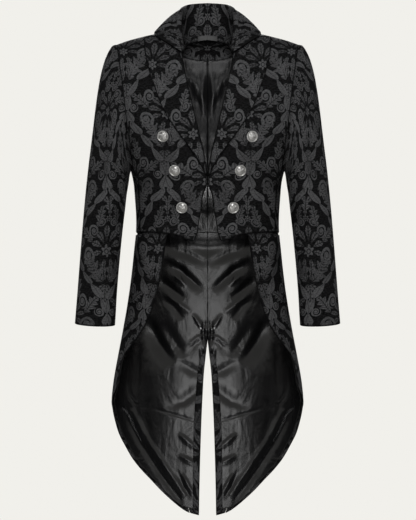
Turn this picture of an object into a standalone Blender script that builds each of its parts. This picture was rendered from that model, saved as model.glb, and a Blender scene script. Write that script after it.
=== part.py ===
"""Man's tailcoat in patterned cloth with a satin lining, open and hollow as if worn.

Lengths are metres, +Z is up and the coat faces -Y. Left and right are the wearer's own,
so the wearer's right side lies at -X. The origin is on the centre line at the height of
the shoulders that carry the coat.

The coat's outer surface is one form: level sections that turn from the centre back to the
centre front, closed over the shoulders. Every panel is a patch of that form, cut at its
seams and thickened inwards. Linings and lapels are made from the panels' own points,
moved in or out. One half is worked out and the other is its mirror image.
"""

import math
from collections import namedtuple

import bpy
import numpy as np

CLOTH = 0.0020
LINING = 0.0010
COLLAR_CLOTH = 0.0030
LAPEL_CLOTH = 0.0030
LABEL_CLOTH_THICKNESS = 0.0006
SEAM_GAP = 0.0003
LINING_GAP = 0.0012
LAPEL_LIFT = 0.0008
COLLAR_LIFT = 0.0014

# level sections are superellipses of this power, closed over the shoulders by two slopes
SQUARENESS = 2.4
FRONT_SLOPE = 0.200
BACK_SLOPE = 0.070

# seams and ends of the body
ARMHOLE_CORNER_Z = -0.300
ARMHOLE_CORNER_X = 0.1712
ARMPIT_DIP = 0.006
NECK_X = 0.070
SHOULDER_TIP_X = 0.208
NECK_BACK_Z = -0.006
WAIST_Z = -0.450
FRONT_HEM_CORNER_Z = -0.460
FRONT_HEM_END_X = 0.0927
TAIL_TIP_OUTER_Z = -1.0856
TAIL_TIP_INNER_Z = -1.0994
TAIL_TIP_SEAM_SHARE = 0.6

BODY_ROWS = 7
YOKE_ROWS = 10
TAIL_ROWS = 14
HEM_COLUMNS = 4
SKIRT_FRONT_COLUMNS = 4
SIDE_COLUMNS = 4
NECK_COLUMNS = 4
SHOULDER_COLUMNS = 4

SLEEVE_RINGS = 14
UNDER_SLEEVE_FIRST = 8
UNDER_SLEEVE_LAST = 16

# margins of the linings are lengths of cloth at the top, bottom, first and last column
FACING_ROWS = 4
FACING_MARGINS = (0.0015, 0.0, 0.006, 0.0)
BACK_LINING_MARGINS = (0.0, 0.0, 0.021, 0.0)
TAIL_LINING_MARGINS = (0.0, 0.012, 0.008, 0.010)
TAIL_LINING_FINER = 2
LARGEST_MARGIN_SHARE = 0.8

LAPEL_ROLL = 0.0035
LAPEL_TOP_Z = -0.0400
LAPEL_FOOT_Z = -0.3150
LAPEL_NOTCH = (0.1035, -0.0120)
LAPEL_NOTCH_REACH = 0.25
LAPEL_ROWS = 14
LAPEL_ROW_CROWDING = 1.3
LAPEL_COLUMNS = 6

# the fall swells out and up, fading towards the collar's front ends
COLLAR_ROLL = 0.0045
COLLAR_STAND_BULGE = 0.03
COLLAR_FALL_BULGE = 0.11
COLLAR_SWELL_OUT = 0.6
COLLAR_SWELL_UP = 0.8
COLLAR_COLUMNS = 10
STAND_SHARES = (0.0, 0.12, 0.4, 0.7, 1.0)
FALL_SHARES = (0.0, 0.25, 0.5, 0.75, 1.0)
LABEL_COLUMNS = 2
LABEL_MARGINS = (0.001, 0.0, 0.0, 0.0)

BUTTON_PLACES = ((0.1017, -0.2270), (0.0752, -0.3054), (0.0585, -0.3903))
BUTTON_LIFT = 0.0009
BUTTON_SIDES = 20
ROPE_TWIST = 0.0004

Material = namedtuple("Material", "name colour roughness metallic")
PATTERNED_CLOTH = Material("patterned_cloth", (0.018, 0.018, 0.019), 0.75, 0.0)
SATIN = Material("satin_lining", (0.022, 0.022, 0.024), 0.32, 0.0)
LABEL_CLOTH = Material("label_cloth", (0.010, 0.010, 0.010), 0.60, 0.0)
OLD_SILVER = Material("old_silver", (0.350, 0.345, 0.335), 0.35, 1.0)


class Table:
    """Rows under named columns, each column read as a smooth curve of the first one."""

    def __init__(self, columns, *rows):
        values = np.array(sorted(rows), dtype=float)
        self.key = values[:, 0]
        self.values = dict(zip(columns.split(), values.T))

    def read(self, column, at):
        """Value of a column at a key, flat beyond the table's ends."""
        values = self.values[column]
        at = np.clip(at, self.key[0], self.key[-1])
        slopes = np.gradient(values, self.key)
        i = np.clip(np.searchsorted(self.key, at) - 1, 0, len(self.key) - 2)
        step = self.key[i + 1] - self.key[i]
        t = (at - self.key[i]) / step
        start = (1 + 2 * t) * (1 - t) ** 2 * values[i] + t * (1 - t) ** 2 * step * slopes[i]
        end = t * t * (3 - 2 * t) * values[i + 1] - t * t * (1 - t) * step * slopes[i + 1]
        return start + end


SECTIONS = Table(
    "z half_width front_depth back_depth",
    (0.030, 0.300, 0.116, 0.104),
    (-0.018, 0.300, 0.117, 0.104),
    (-0.050, 0.284, 0.119, 0.105),
    (-0.097, 0.256, 0.124, 0.110),
    (-0.143, 0.231, 0.128, 0.114),
    (-0.180, 0.218, 0.130, 0.116),
    (-0.230, 0.2035, 0.130, 0.116),
    (-0.270, 0.188, 0.129, 0.114),
    (-0.306, 0.1765, 0.126, 0.110),
    (-0.327, 0.1714, 0.123, 0.106),
    (-0.373, 0.1668, 0.116, 0.098),
    (-0.407, 0.1645, 0.112, 0.095),
    (-0.442, 0.1645, 0.111, 0.096),
    (-0.488, 0.1690, 0.112, 0.101),
    (-0.534, 0.1737, 0.113, 0.107),
    (-0.603, 0.1829, 0.114, 0.115),
    (-0.672, 0.1948, 0.115, 0.121),
    (-0.741, 0.2080, 0.116, 0.126),
    (-0.787, 0.2160, 0.116, 0.129),
    (-0.833, 0.2208, 0.116, 0.132),
    (-0.900, 0.2205, 0.116, 0.135),
    (-1.100, 0.2205, 0.116, 0.138),
)
SHOULDER_LINE = Table(
    "x z",
    (0.070, 0.0140), (0.090, 0.0135), (0.119, 0.0095),
    (0.152, 0.0020), (0.185, -0.0070), (0.222, -0.0205),
)
ARMHOLE = Table(
    "z x",
    (-0.0165, 0.2080), (-0.0506, 0.2036), (-0.0966, 0.1967), (-0.1426, 0.1910),
    (-0.1770, 0.1875), (-0.2300, 0.1806), (-0.2737, 0.1745), (-0.3000, 0.1712),
)
FRONT_EDGE = Table(
    "z x",
    (0.0140, 0.0700), (0.0023, 0.0690), (-0.0200, 0.0645), (-0.0437, 0.0610),
    (-0.0886, 0.0515), (-0.1495, 0.0362), (-0.2024, 0.0238), (-0.2300, 0.0170),
    (-0.2576, 0.0106), (-0.2920, 0.0045), (-0.3174, 0.0004), (-0.3350, 0.0004),
    (-0.3430, 0.0030), (-0.3610, 0.0100), (-0.3956, 0.0145), (-0.4269, 0.0200),
    (-0.4450, 0.0225), (-0.4580, 0.0262), (-0.4670, 0.0310),
)
FRONT_HEM = Table(
    "x z",
    (0.0270, -0.4650), (0.0330, -0.4672), (0.0453, -0.4646), (0.0593, -0.4584),
    (0.0734, -0.4524), (0.0927, -0.4497), (0.1200, -0.4465), (0.1600, -0.4460),
)
SIDE_SEAM = Table("z x", (-0.300, 0.1712), (-0.350, 0.1600), (-0.400, 0.1550), (-0.460, 0.1545))
BACK_SEAM = Table(
    "z x",
    (-0.300, 0.1712), (-0.330, 0.1450), (-0.360, 0.1120), (-0.390, 0.0850),
    (-0.420, 0.0690), (-0.446, 0.0620), (-0.550, 0.0630), (-0.700, 0.0700),
    (-0.830, 0.0780), (-0.950, 0.0740), (-1.030, 0.0620), (-1.100, 0.0400),
)
VENT_EDGE = Table(
    "z x",
    (-0.690, 0.0000), (-0.720, 0.0035), (-0.760, 0.0080), (-0.833, 0.0125),
    (-0.950, 0.0170), (-1.100, 0.0205),
)
# side is 1 where the edge is still in front of the wearer's side, and -1 behind it
TAIL_EDGE = Table(
    "z x side",
    (-0.450, 0.0927, 1), (-0.511, 0.1024, 1), (-0.589, 0.1178, 1), (-0.669, 0.1484, 1),
    (-0.702, 0.1714, 1), (-0.731, 0.1930, 1), (-0.766, 0.2025, 1), (-0.798, 0.2075, 1),
    (-0.826, 0.2180, 1), (-0.849, 0.2196, -1), (-0.862, 0.2176, -1), (-0.880, 0.2136, -1),
    (-0.906, 0.2062, -1), (-0.937, 0.1912, -1), (-0.971, 0.1715, -1), (-0.994, 0.1530, -1),
    (-1.017, 0.1311, -1), (-1.040, 0.1096, -1), (-1.063, 0.0848, -1), (-1.0856, 0.0572, -1),
)
SLEEVE = Table(
    "ring outer_x outer_z inner_x inner_z front back centre_y drop",
    (1, 0.2200, -0.0195, 0.1768, -0.3075, 0.0720, 0.0740, 0.000, 0.000),
    (2, 0.2365, -0.0510, 0.1780, -0.3110, 0.0725, 0.0740, 0.000, 0.000),
    (3, 0.2480, -0.0966, 0.1792, -0.3165, 0.0715, 0.0730, 0.000, 0.000),
    (4, 0.2570, -0.1550, 0.1803, -0.3250, 0.0700, 0.0710, 0.000, 0.000),
    (5, 0.2650, -0.2220, 0.1820, -0.3380, 0.0680, 0.0690, 0.000, 0.000),
    (6, 0.2735, -0.2900, 0.1855, -0.3580, 0.0655, 0.0665, 0.000, 0.000),
    (7, 0.2815, -0.3650, 0.1900, -0.3980, 0.0620, 0.0640, -0.001, 0.000),
    (8, 0.2885, -0.4450, 0.1965, -0.4540, 0.0585, 0.0610, -0.004, 0.000),
    (9, 0.2940, -0.5150, 0.2025, -0.5170, 0.0545, 0.0570, -0.010, 0.000),
    (10, 0.2985, -0.5750, 0.2075, -0.5750, 0.0510, 0.0520, -0.018, 0.001),
    (11, 0.3025, -0.6250, 0.2102, -0.6230, 0.0470, 0.0480, -0.025, 0.003),
    (12, 0.3050, -0.6560, 0.2125, -0.6600, 0.0445, 0.0455, -0.029, 0.005),
)
TAIL_FOLDS = Table(
    "start_z start_x end_x end_z height width",
    (-0.5175, 0.0930, 0.0170, -0.5750, 0.0035, 0.009),
    (-0.5590, 0.1056, 0.0590, -0.5960, 0.0030, 0.008),
    (-0.6003, 0.1012, 0.0640, -0.6420, 0.0035, 0.009),
    (-0.6417, 0.1253, 0.0678, -0.7430, 0.0060, 0.014),
    (-0.7475, 0.0642, 0.0219, -0.7705, 0.0030, 0.010),
    (-0.8350, 0.0540, 0.0126, -0.8027, 0.0035, 0.011),
    (-0.9154, 0.0621, 0.0357, -0.9384, 0.0030, 0.010),
    (-1.0074, 0.0563, 0.0357, -1.0465, 0.0030, 0.010),
)
LAPEL_ROLL_LINE = Table(
    "z x",
    (-0.0400, 0.0585), (-0.0886, 0.0495), (-0.1495, 0.0352), (-0.2024, 0.0230),
    (-0.2300, 0.0162), (-0.2576, 0.0098), (-0.2920, 0.0040), (-0.3150, 0.0010),
)
LAPEL_EDGE = Table(
    "share x z",
    (0.00, 0.1450, -0.0040), (0.12, 0.1425, -0.0370), (0.26, 0.1322, -0.0805),
    (0.40, 0.1185, -0.1200), (0.54, 0.1000, -0.1656), (0.68, 0.0665, -0.2174),
    (0.80, 0.0420, -0.2500), (0.90, 0.0180, -0.2852), (1.00, 0.0035, -0.3150),
)
COLLAR = Table(
    "place neck_x neck_y neck_z roll_x roll_y roll_z edge_x edge_y edge_z",
    (0.0, 0.0000, 0.0682, -0.0050, 0.0000, 0.0750, 0.0800, 0.0000, 0.1030, -0.0180),
    (0.2, 0.0230, 0.0630, -0.0083, 0.0260, 0.0700, 0.0785, 0.0500, 0.0960, -0.0100),
    (0.4, 0.0435, 0.0480, -0.0160, 0.0470, 0.0530, 0.0750, 0.0900, 0.0700, 0.0050),
    (0.6, 0.0550, 0.0180, -0.0280, 0.0610, 0.0170, 0.0640, 0.1150, 0.0240, 0.0140),
    (0.8, 0.0580, -0.0250, -0.0350, 0.0655, -0.0200, 0.0320, 0.1215, -0.0120, 0.0130),
    (0.9, 0.0575, -0.0520, -0.0370, 0.0628, -0.0460, 0.0023, 0.1225, -0.0180, 0.0100),
    (1.0, 0.0565, -0.0800, -0.0375, 0.0570, -0.0820, -0.0330, 0.1220, -0.0220, 0.0060),
)
BUTTON_PROFILE = Table(
    "step radius height rope",
    (0, 0.0110, 0.0000, 0), (1, 0.0126, 0.0012, 0), (2, 0.0131, 0.0030, 1),
    (3, 0.0122, 0.0042, 1), (4, 0.0110, 0.0036, 0), (5, 0.0098, 0.0040, 0),
    (6, 0.0070, 0.0056, 0), (7, 0.0035, 0.0064, 0),
)


def half_width(z):
    """Half the width of the level section at a height."""
    return SECTIONS.read("half_width", z)


def turn_of(x, z):
    """Angle from the centre back at which the section at z reaches x, up to a right angle."""
    return np.arcsin(np.clip(x / half_width(z), 0.0, 1.0) ** (SQUARENESS / 2))


def body_point(turn, z):
    """Point of the coat's outer surface on the wearer's left, mirrored later."""
    x = half_width(z) * np.sin(turn) ** (2 / SQUARENESS)
    fall = np.maximum(SHOULDER_LINE.read("z", x) - z, 0.0)
    facing = np.cos(turn)
    behind = facing > 0
    depth = np.where(behind, SECTIONS.read("back_depth", z), -SECTIONS.read("front_depth", z))
    reach = np.minimum(fall / np.where(behind, BACK_SLOPE, FRONT_SLOPE), 1.0)
    y = depth * np.sqrt(1 - (1 - reach) ** 2) * np.abs(facing) ** (2 / SQUARENESS)
    return np.stack([x, y, z], axis=-1)


def turn_of_tail_edge(z):
    """Angle of the swept-back front edge of the tail."""
    turns = turn_of(TAIL_EDGE.values["x"], TAIL_EDGE.key)
    turns = np.where(TAIL_EDGE.values["side"] > 0, math.pi - turns, turns)
    return Table("z turn", *zip(TAIL_EDGE.key, turns)).read("turn", z)


def spread(start, end, shares):
    """Values between two, at the given shares of the way."""
    return start + (end - start) * shares


def even(count):
    """Evenly spaced shares from 0 to 1."""
    return np.linspace(0.0, 1.0, count + 1)


def neck_shares():
    """Places of the columns under the back of the neck, closer towards the shoulder."""
    return np.sin(even(NECK_COLUMNS) * math.pi / 2)


def front_shares():
    """Places of the front's columns, with one where its free hem gives way to the skirt."""
    edge_x = FRONT_EDGE.read("x", FRONT_HEM_CORNER_Z)
    edge_turn = math.pi - turn_of(edge_x, FRONT_HEM_CORNER_Z)
    hem_turn = math.pi - turn_of(FRONT_HEM_END_X, WAIST_Z)
    seam_turn = math.pi - turn_of(SIDE_SEAM.read("x", WAIST_Z), WAIST_Z)
    at_hem = float((hem_turn - edge_turn) / (seam_turn - edge_turn))
    hem_part = even(HEM_COLUMNS) * at_hem
    return np.concatenate([hem_part, spread(at_hem, 1.0, even(SKIRT_FRONT_COLUMNS)[1:])])


def back_shares():
    """Places of the back's columns from the centre, with one below the neck point."""
    split = turn_of(NECK_X, ARMHOLE_CORNER_Z) / turn_of(ARMHOLE_CORNER_X, ARMHOLE_CORNER_Z)
    neck_part = neck_shares() * split
    return np.concatenate([neck_part, spread(split, 1.0, even(SHOULDER_COLUMNS)[1:])])


def settle(turns_at, height_at, z):
    """Heights of an edge whose height depends on x, found by going round a few times."""
    for _ in range(6):
        z = height_at(body_point(turns_at(z), z)[..., 0])
    return z


def front_turns(z):
    """Turns of the front's columns below the armhole, each at its own height."""
    edge = math.pi - turn_of(FRONT_EDGE.read("x", z), z)
    seam = math.pi - turn_of(SIDE_SEAM.read("x", z), z)
    return spread(edge, seam, front_shares())


def side_turns(z):
    """Turns of the side panel's columns."""
    start = math.pi - turn_of(SIDE_SEAM.read("x", z), z)
    return spread(start, turn_of(BACK_SEAM.read("x", z), z), even(SIDE_COLUMNS))


def back_turns(z):
    """Turns of the back's columns, from its outer seam in to the centre or the vent."""
    centre = turn_of(VENT_EDGE.read("x", z), z)
    seam = turn_of(BACK_SEAM.read("x", z), z)
    return spread(centre, seam, back_shares())[::-1]


def skirt_turns(z):
    """Turns of the skirt's columns, from the tail's swept edge back to the back seam."""
    seam = turn_of(BACK_SEAM.read("x", z), z)
    return spread(turn_of_tail_edge(z), seam, even(SKIRT_FRONT_COLUMNS + SIDE_COLUMNS))


def level_rows(turns_at, top_z, bottom_z, count):
    """Patch of rows from a top edge down to a bottom edge."""
    levels = [spread(top_z, bottom_z, share) for share in even(count)]
    return np.array([body_point(turns_at(z), z) for z in levels])


def yoke_rows(inner_x, outer_x, outer_top_x, shares, ahead, top_line):
    """Patch from the top edge down to the armhole's corner, between two upright edges."""
    inner_top_z = SHOULDER_LINE.read("z", NECK_X)
    outer_top_z = SHOULDER_LINE.read("z", outer_top_x)

    def turns(share):
        inner_z = spread(ARMHOLE_CORNER_Z, inner_top_z, share)
        outer_z = spread(ARMHOLE_CORNER_Z, outer_top_z, share)
        inner = turn_of(inner_x(inner_z), inner_z)
        outer = turn_of(outer_x(outer_z), outer_z)
        if ahead:
            inner, outer = math.pi - inner, math.pi - outer
        return spread(inner, outer, shares)

    top_z = settle(lambda z: turns(1.0), top_line, np.full(len(shares), outer_top_z))
    rows = []
    for step in even(YOKE_ROWS)[::-1]:
        share = 1 - (1 - step) ** 2
        rows.append(body_point(turns(share), spread(ARMHOLE_CORNER_Z, top_z, share)))
    return np.array(rows)


def neck_line(x):
    """Height of the back's neck edge."""
    rise = SHOULDER_LINE.read("z", NECK_X) - NECK_BACK_Z
    return NECK_BACK_Z + rise * np.minimum(x / NECK_X, 1.0) ** 2


def front_yoke():
    """The front above the armhole's corner, from the roll line out to the armhole."""
    return yoke_rows(
        lambda z: FRONT_EDGE.read("x", z), lambda z: ARMHOLE.read("x", z),
        SHOULDER_TIP_X, front_shares(), True, lambda x: SHOULDER_LINE.read("z", x))


def back_yoke():
    """The back above the armhole's corner, from the armhole in to the centre."""
    shares = even(SHOULDER_COLUMNS)
    outer = yoke_rows(
        lambda z: NECK_X, lambda z: ARMHOLE.read("x", z),
        SHOULDER_TIP_X, shares, False, lambda x: SHOULDER_LINE.read("z", x))
    inner = yoke_rows(
        lambda z: 0.0, lambda z: NECK_X, NECK_X, neck_shares(), False, neck_line)
    return np.concatenate([outer[:, ::-1], inner[:, ::-1][:, 1:]], axis=1)


def outer_patches():
    """Outer surface of each body panel, rows down and columns from front to back."""
    front_corner = np.full(len(front_shares()), ARMHOLE_CORNER_Z)
    hem = settle(front_turns, lambda x: FRONT_HEM.read("z", x), np.full_like(front_corner, WAIST_Z))
    front = np.concatenate([
        front_yoke(), level_rows(front_turns, front_corner, hem, BODY_ROWS)[1:]])
    arch = ARMHOLE_CORNER_Z - ARMPIT_DIP * np.sin(math.pi * even(SIDE_COLUMNS))
    side = level_rows(side_turns, arch, np.full(SIDE_COLUMNS + 1, hem[-1]), BODY_ROWS)
    skirt_top = np.concatenate([hem[HEM_COLUMNS:], np.full(SIDE_COLUMNS, hem[-1])])
    skirt_share = even(len(skirt_top) - 1)
    back_corner = np.full(len(back_shares()), ARMHOLE_CORNER_Z)
    back_waist = np.full(len(back_shares()), hem[-1])
    hem_split = spread(TAIL_TIP_OUTER_Z, TAIL_TIP_INNER_Z, TAIL_TIP_SEAM_SHARE)
    skirt_hem = spread(TAIL_TIP_OUTER_Z, hem_split, skirt_share)
    back_hem = spread(hem_split, TAIL_TIP_INNER_Z, 1 - back_shares()[::-1])
    skirt = level_rows(skirt_turns, skirt_top, skirt_hem, TAIL_ROWS)
    back = np.concatenate([
        back_yoke(), level_rows(back_turns, back_corner, back_waist, BODY_ROWS)[1:],
        level_rows(back_turns, back_waist, back_hem, TAIL_ROWS)[1:]])
    skirt[0, :SKIRT_FRONT_COLUMNS + 1] = front[-1, HEM_COLUMNS:]
    skirt[0, SKIRT_FRONT_COLUMNS:] = side[-1]
    return {"front": front, "side": side, "back": back, "skirt": skirt}


def armhole_loop(patches):
    """The armhole from the shoulder tip round the back, the armpit and the front."""
    back = patches["back"][:YOKE_ROWS + 1, 0]
    under = patches["side"][0, ::-1]
    front = patches["front"][:YOKE_ROWS + 1, -1][::-1]
    return np.concatenate([back, under[1:-1], front])


def sleeve_patch(patches):
    """The whole sleeve, rings down from the armhole, each from its top round the back."""
    loop = armhole_loop(patches)
    middle_z = (loop[:, 2].max() + loop[:, 2].min()) / 2
    reach_z = (loop[:, 2].max() - loop[:, 2].min()) / 2
    reach_y = np.where(loop[:, 1] > 0, loop[:, 1].max(), -loop[:, 1].min())
    angle = np.unwrap(np.arctan2(loop[:, 1] / reach_y, (loop[:, 2] - middle_z) / reach_z))
    angle = spread(0.0, 2 * math.pi, (angle - angle[0]) / (angle[-1] - angle[0]))
    along = np.cos(angle)
    across = np.sin(angle)
    rings = [loop]
    for ring in np.linspace(1, 12, SLEEVE_RINGS):
        row = {name: SLEEVE.read(name, ring) for name in SLEEVE.values}
        centre_x = (row["outer_x"] + row["inner_x"]) / 2
        centre_z = (row["outer_z"] + row["inner_z"]) / 2
        x = centre_x + (row["outer_x"] - row["inner_x"]) / 2 * along
        z = centre_z + (row["outer_z"] - row["inner_z"]) / 2 * along
        depth = np.where(across > 0, row["back"], row["front"])
        y = row["centre_y"] + depth * across
        z = z - row["drop"] * np.maximum(-across, 0.0)
        rings.append(np.stack([x, y, z], axis=-1))
    return np.array(rings)


def shared_normals(patches):
    """Outward normals of all patches, averaged where their points meet."""
    sums = {}
    corners = [(0, 0), (1, 0), (1, 1), (0, 1)]
    for patch in patches:
        down = patch[1:, 1:] - patch[:-1, :-1]
        across = patch[:-1, 1:] - patch[1:, :-1]
        faces = np.cross(down, across)
        for i in range(faces.shape[0]):
            for j in range(faces.shape[1]):
                for di, dj in corners:
                    key = tuple(np.round(patch[i + di, j + dj], 5) + 0.0)
                    sums[key] = sums.get(key, 0.0) + faces[i, j]
    normals = []
    for patch in patches:
        flat = np.array([sums[tuple(np.round(p, 5) + 0.0)] for p in patch.reshape(-1, 3)])
        flat = flat.reshape(patch.shape)
        flat[..., 0] = np.where(np.abs(patch[..., 0]) < 0.001, 0.0, flat[..., 0])
        on_shoulder = (np.abs(patch[..., 1]) < 1e-6) & (patch[..., 2] > -0.02)
        flat[..., 1] = np.where(on_shoulder, 0.0, flat[..., 1])
        normals.append(flat / np.linalg.norm(flat, axis=-1, keepdims=True))
    return normals


def drawn_in(points, gap):
    """A patch with its four edges moved inwards along the cloth."""
    points = points.copy()
    for axis in (0, 1):
        lines = np.swapaxes(points, 0, axis)
        for edge, beside in ((0, 1), (-1, -2)):
            step = lines[beside] - lines[edge]
            lines[edge] += gap * step / np.linalg.norm(step, axis=-1, keepdims=True)
    return points


def wall_mesh(outer, inner, flipped_columns):
    """Vertices and faces of a closed wall between two matching patches.

    Each cell is cut along the same diagonal, and along the other one in the first columns
    given, so that the two halves of the coat mirror each other.
    """
    rows, columns = outer.shape[:2]
    half = rows * columns
    vertices = np.concatenate([outer.reshape(-1, 3), inner.reshape(-1, 3)])
    faces = []
    for i in range(rows - 1):
        for j in range(columns - 1):
            a = i * columns + j
            b, c, d = a + columns, a + columns + 1, a + 1
            cell = ((a, b, c), (a, c, d)) if j < flipped_columns else ((a, b, d), (b, c, d))
            for triangle in cell:
                faces.append(triangle)
                faces.append(tuple(half + v for v in reversed(triangle)))
    top = [j for j in range(columns)]
    right = [i * columns + columns - 1 for i in range(1, rows)]
    bottom = [(rows - 1) * columns + j for j in range(columns - 2, -1, -1)]
    left = [i * columns for i in range(rows - 2, 0, -1)]
    rim = top + right + bottom + left
    outer_flat = np.round(outer.reshape(-1, 3), 4)
    for a, b in zip(rim, rim[1:] + rim[:1]):
        if (outer_flat[a, 2], abs(outer_flat[a, 0])) < (outer_flat[b, 2], abs(outer_flat[b, 0])):
            faces += [(a, b, half + b), (a, half + b, half + a)]
        else:
            faces += [(a, b, half + a), (b, half + b, half + a)]
    return vertices, faces


def material_of(finish):
    """The material of one finish, made once."""
    material = bpy.data.materials.get(finish.name)
    if material is None:
        material = bpy.data.materials.new(finish.name)
        material.use_nodes = True
        shader = material.node_tree.nodes["Principled BSDF"]
        shader.inputs["Base Color"].default_value = (*finish.colour, 1.0)
        shader.inputs["Roughness"].default_value = finish.roughness
        shader.inputs["Metallic"].default_value = finish.metallic
    return material


def add_object(name, vertices, faces, finish):
    """A smooth-shaded object in the scene."""
    mesh = bpy.data.meshes.new(name)
    mesh.from_pydata([tuple(v) for v in vertices], [], faces)
    mesh.shade_smooth()
    mesh.set_sharp_from_angle(angle=math.radians(50))
    mesh.materials.append(material_of(finish))
    item = bpy.data.objects.new(name, mesh)
    bpy.context.scene.collection.objects.link(item)
    return item


def mirrored(patch):
    """The same patch on the wearer's right, its columns still turning the same way."""
    return (patch * (-1, 1, 1))[:, ::-1]


def add_wall(name, points, normals, thickness, finish, flipped_columns):
    """A wall whose outer face is the patch, with the seam gap taken off its edges."""
    outer = drawn_in(points, SEAM_GAP / 2)
    inner = drawn_in(points - normals * thickness, SEAM_GAP / 2)
    return add_object(name, *wall_mesh(outer, inner, flipped_columns), finish)


def add_pair(name, points, normals, thickness, finish):
    """The same wall on the wearer's left and right."""
    columns = points.shape[1]
    add_wall(name + "_left", points, normals, thickness, finish, 0)
    add_wall(name + "_right", mirrored(points), mirrored(normals), thickness, finish, columns)


def resampled(points, normals, factors, margins):
    """A patch drawn again on its own facets, with margins off its four edges.

    Each row and column gap is cut into a whole number of parts. The margins are lengths
    of cloth at the top, bottom, first and last column.
    """
    both = np.concatenate([points, normals], axis=-1)
    for axis, factor, (start, end) in ((1, factors[1], margins[2:]), (0, factors[0], margins[:2])):
        lines = np.swapaxes(both, 0, axis)
        gaps = len(lines) - 1
        steps = np.linalg.norm(np.diff(lines[..., :3], axis=0), axis=-1)
        places = np.repeat(np.linspace(0, gaps, gaps * factor + 1)[:, None], lines.shape[1], 1)
        largest = LARGEST_MARGIN_SHARE / factor
        places[0] = np.minimum(start / steps[0], largest)
        places[-1] = gaps - np.minimum(end / steps[-1], largest)
        below = np.minimum(places.astype(int), gaps - 1)
        part = (places - below)[..., None]
        across = np.arange(lines.shape[1])
        lines = lines[below, across] * (1 - part) + lines[below + 1, across] * part
        both = np.swapaxes(lines, 0, axis)
    return both[..., :3], both[..., 3:]


def fold_height(points):
    """How far the loose satin of the tails stands in from the cloth at each point."""
    height = np.zeros(points.shape[:-1])
    columns = TAIL_FOLDS.values
    for i in range(len(TAIL_FOLDS.key)):
        start = np.array([columns["start_x"][i], columns["start_z"][i]])
        run = np.array([columns["end_x"][i], columns["end_z"][i]]) - start
        offset = points[..., [0, 2]] - start
        along = np.clip(offset @ run / (run @ run), 0.0, 1.0)
        distance = np.linalg.norm(offset - along[..., None] * run, axis=-1)
        ridge = np.exp(-(distance / columns["width"][i]) ** 2)
        height += columns["height"][i] * ridge * (0.25 + 3 * along * (1 - along))
    return height


def add_linings(patches, normals):
    """The patterned facing of the back's yoke and the satin below it, inside the walls."""
    inset = CLOTH + LINING_GAP
    back, back_normals = patches["back"], normals["back"]
    yoke = slice(0, FACING_ROWS + 1)
    facing, facing_normals = resampled(
        back[yoke], back_normals[yoke], (1, 1), FACING_MARGINS)
    facing[:, -1, 0] = 0.0
    facing_normals[:, -1, 0] = 0.0
    whole = np.concatenate([facing, mirrored(facing)[:, 1:]], axis=1)
    whole_normals = np.concatenate([facing_normals, mirrored(facing_normals)[:, 1:]], axis=1)
    add_wall("back_neck_facing", mirrored(whole - whole_normals * inset),
             mirrored(whole_normals), LINING, PATTERNED_CLOTH, facing.shape[1] - 1)
    middle = slice(FACING_ROWS, YOKE_ROWS + BODY_ROWS + 1)
    lining, lining_normals = resampled(
        back[middle], back_normals[middle], (1, 1), BACK_LINING_MARGINS)
    add_pair("back_lining", lining - lining_normals * inset, lining_normals, LINING, SATIN)
    tail = slice(YOKE_ROWS + BODY_ROWS, None)
    points = np.concatenate([patches["skirt"], back[tail, 1:]], axis=1)
    point_normals = np.concatenate([normals["skirt"], back_normals[tail, 1:]], axis=1)
    satin, satin_normals = resampled(
        points, point_normals, (TAIL_LINING_FINER, 1), TAIL_LINING_MARGINS)
    satin = satin - satin_normals * (inset + fold_height(satin))[..., None]
    add_pair("tail_lining", satin, satin_normals, LINING, SATIN)


def front_surface(x, z):
    """Point of the front's outer surface at a place seen from ahead."""
    return body_point(math.pi - turn_of(x, z), z)


def lapel_base():
    """The lapel's place on the front, from its roll line out to its peaked edge."""
    rows = even(LAPEL_ROWS) ** LAPEL_ROW_CROWDING
    columns = even(LAPEL_COLUMNS)
    roll_z = spread(LAPEL_TOP_Z, LAPEL_FOOT_Z, rows)
    roll_x = LAPEL_ROLL_LINE.read("x", roll_z)
    edge_x = LAPEL_EDGE.read("x", rows)
    edge_z = LAPEL_EDGE.read("z", rows)
    x = roll_x[:, None] + (edge_x - roll_x)[:, None] * columns
    z = roll_z[:, None] + (edge_z - roll_z)[:, None] * columns
    notch_share = (LAPEL_NOTCH[0] - roll_x[0]) / (edge_x[0] - roll_x[0])
    straight_z = spread(roll_z[0], edge_z[0], notch_share)
    tent = np.minimum(columns / notch_share, (1 - columns) / (1 - notch_share))
    fade = np.maximum(1 - rows / LAPEL_NOTCH_REACH, 0.0)
    z += fade[:, None] * (LAPEL_NOTCH[1] - straight_z) * tent
    return front_surface(x, z)


def add_lapels():
    """The lapels, folded back on the fronts and a little proud at the roll."""
    base = lapel_base()
    normals = shared_normals([base])[0]
    lift = LAPEL_LIFT + LAPEL_CLOTH + LAPEL_ROLL * (1 - even(LAPEL_COLUMNS)) ** 2
    points = base + normals * lift[:, None]
    add_pair("lapel", points, normals, LAPEL_CLOTH, PATTERNED_CLOTH)


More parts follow.
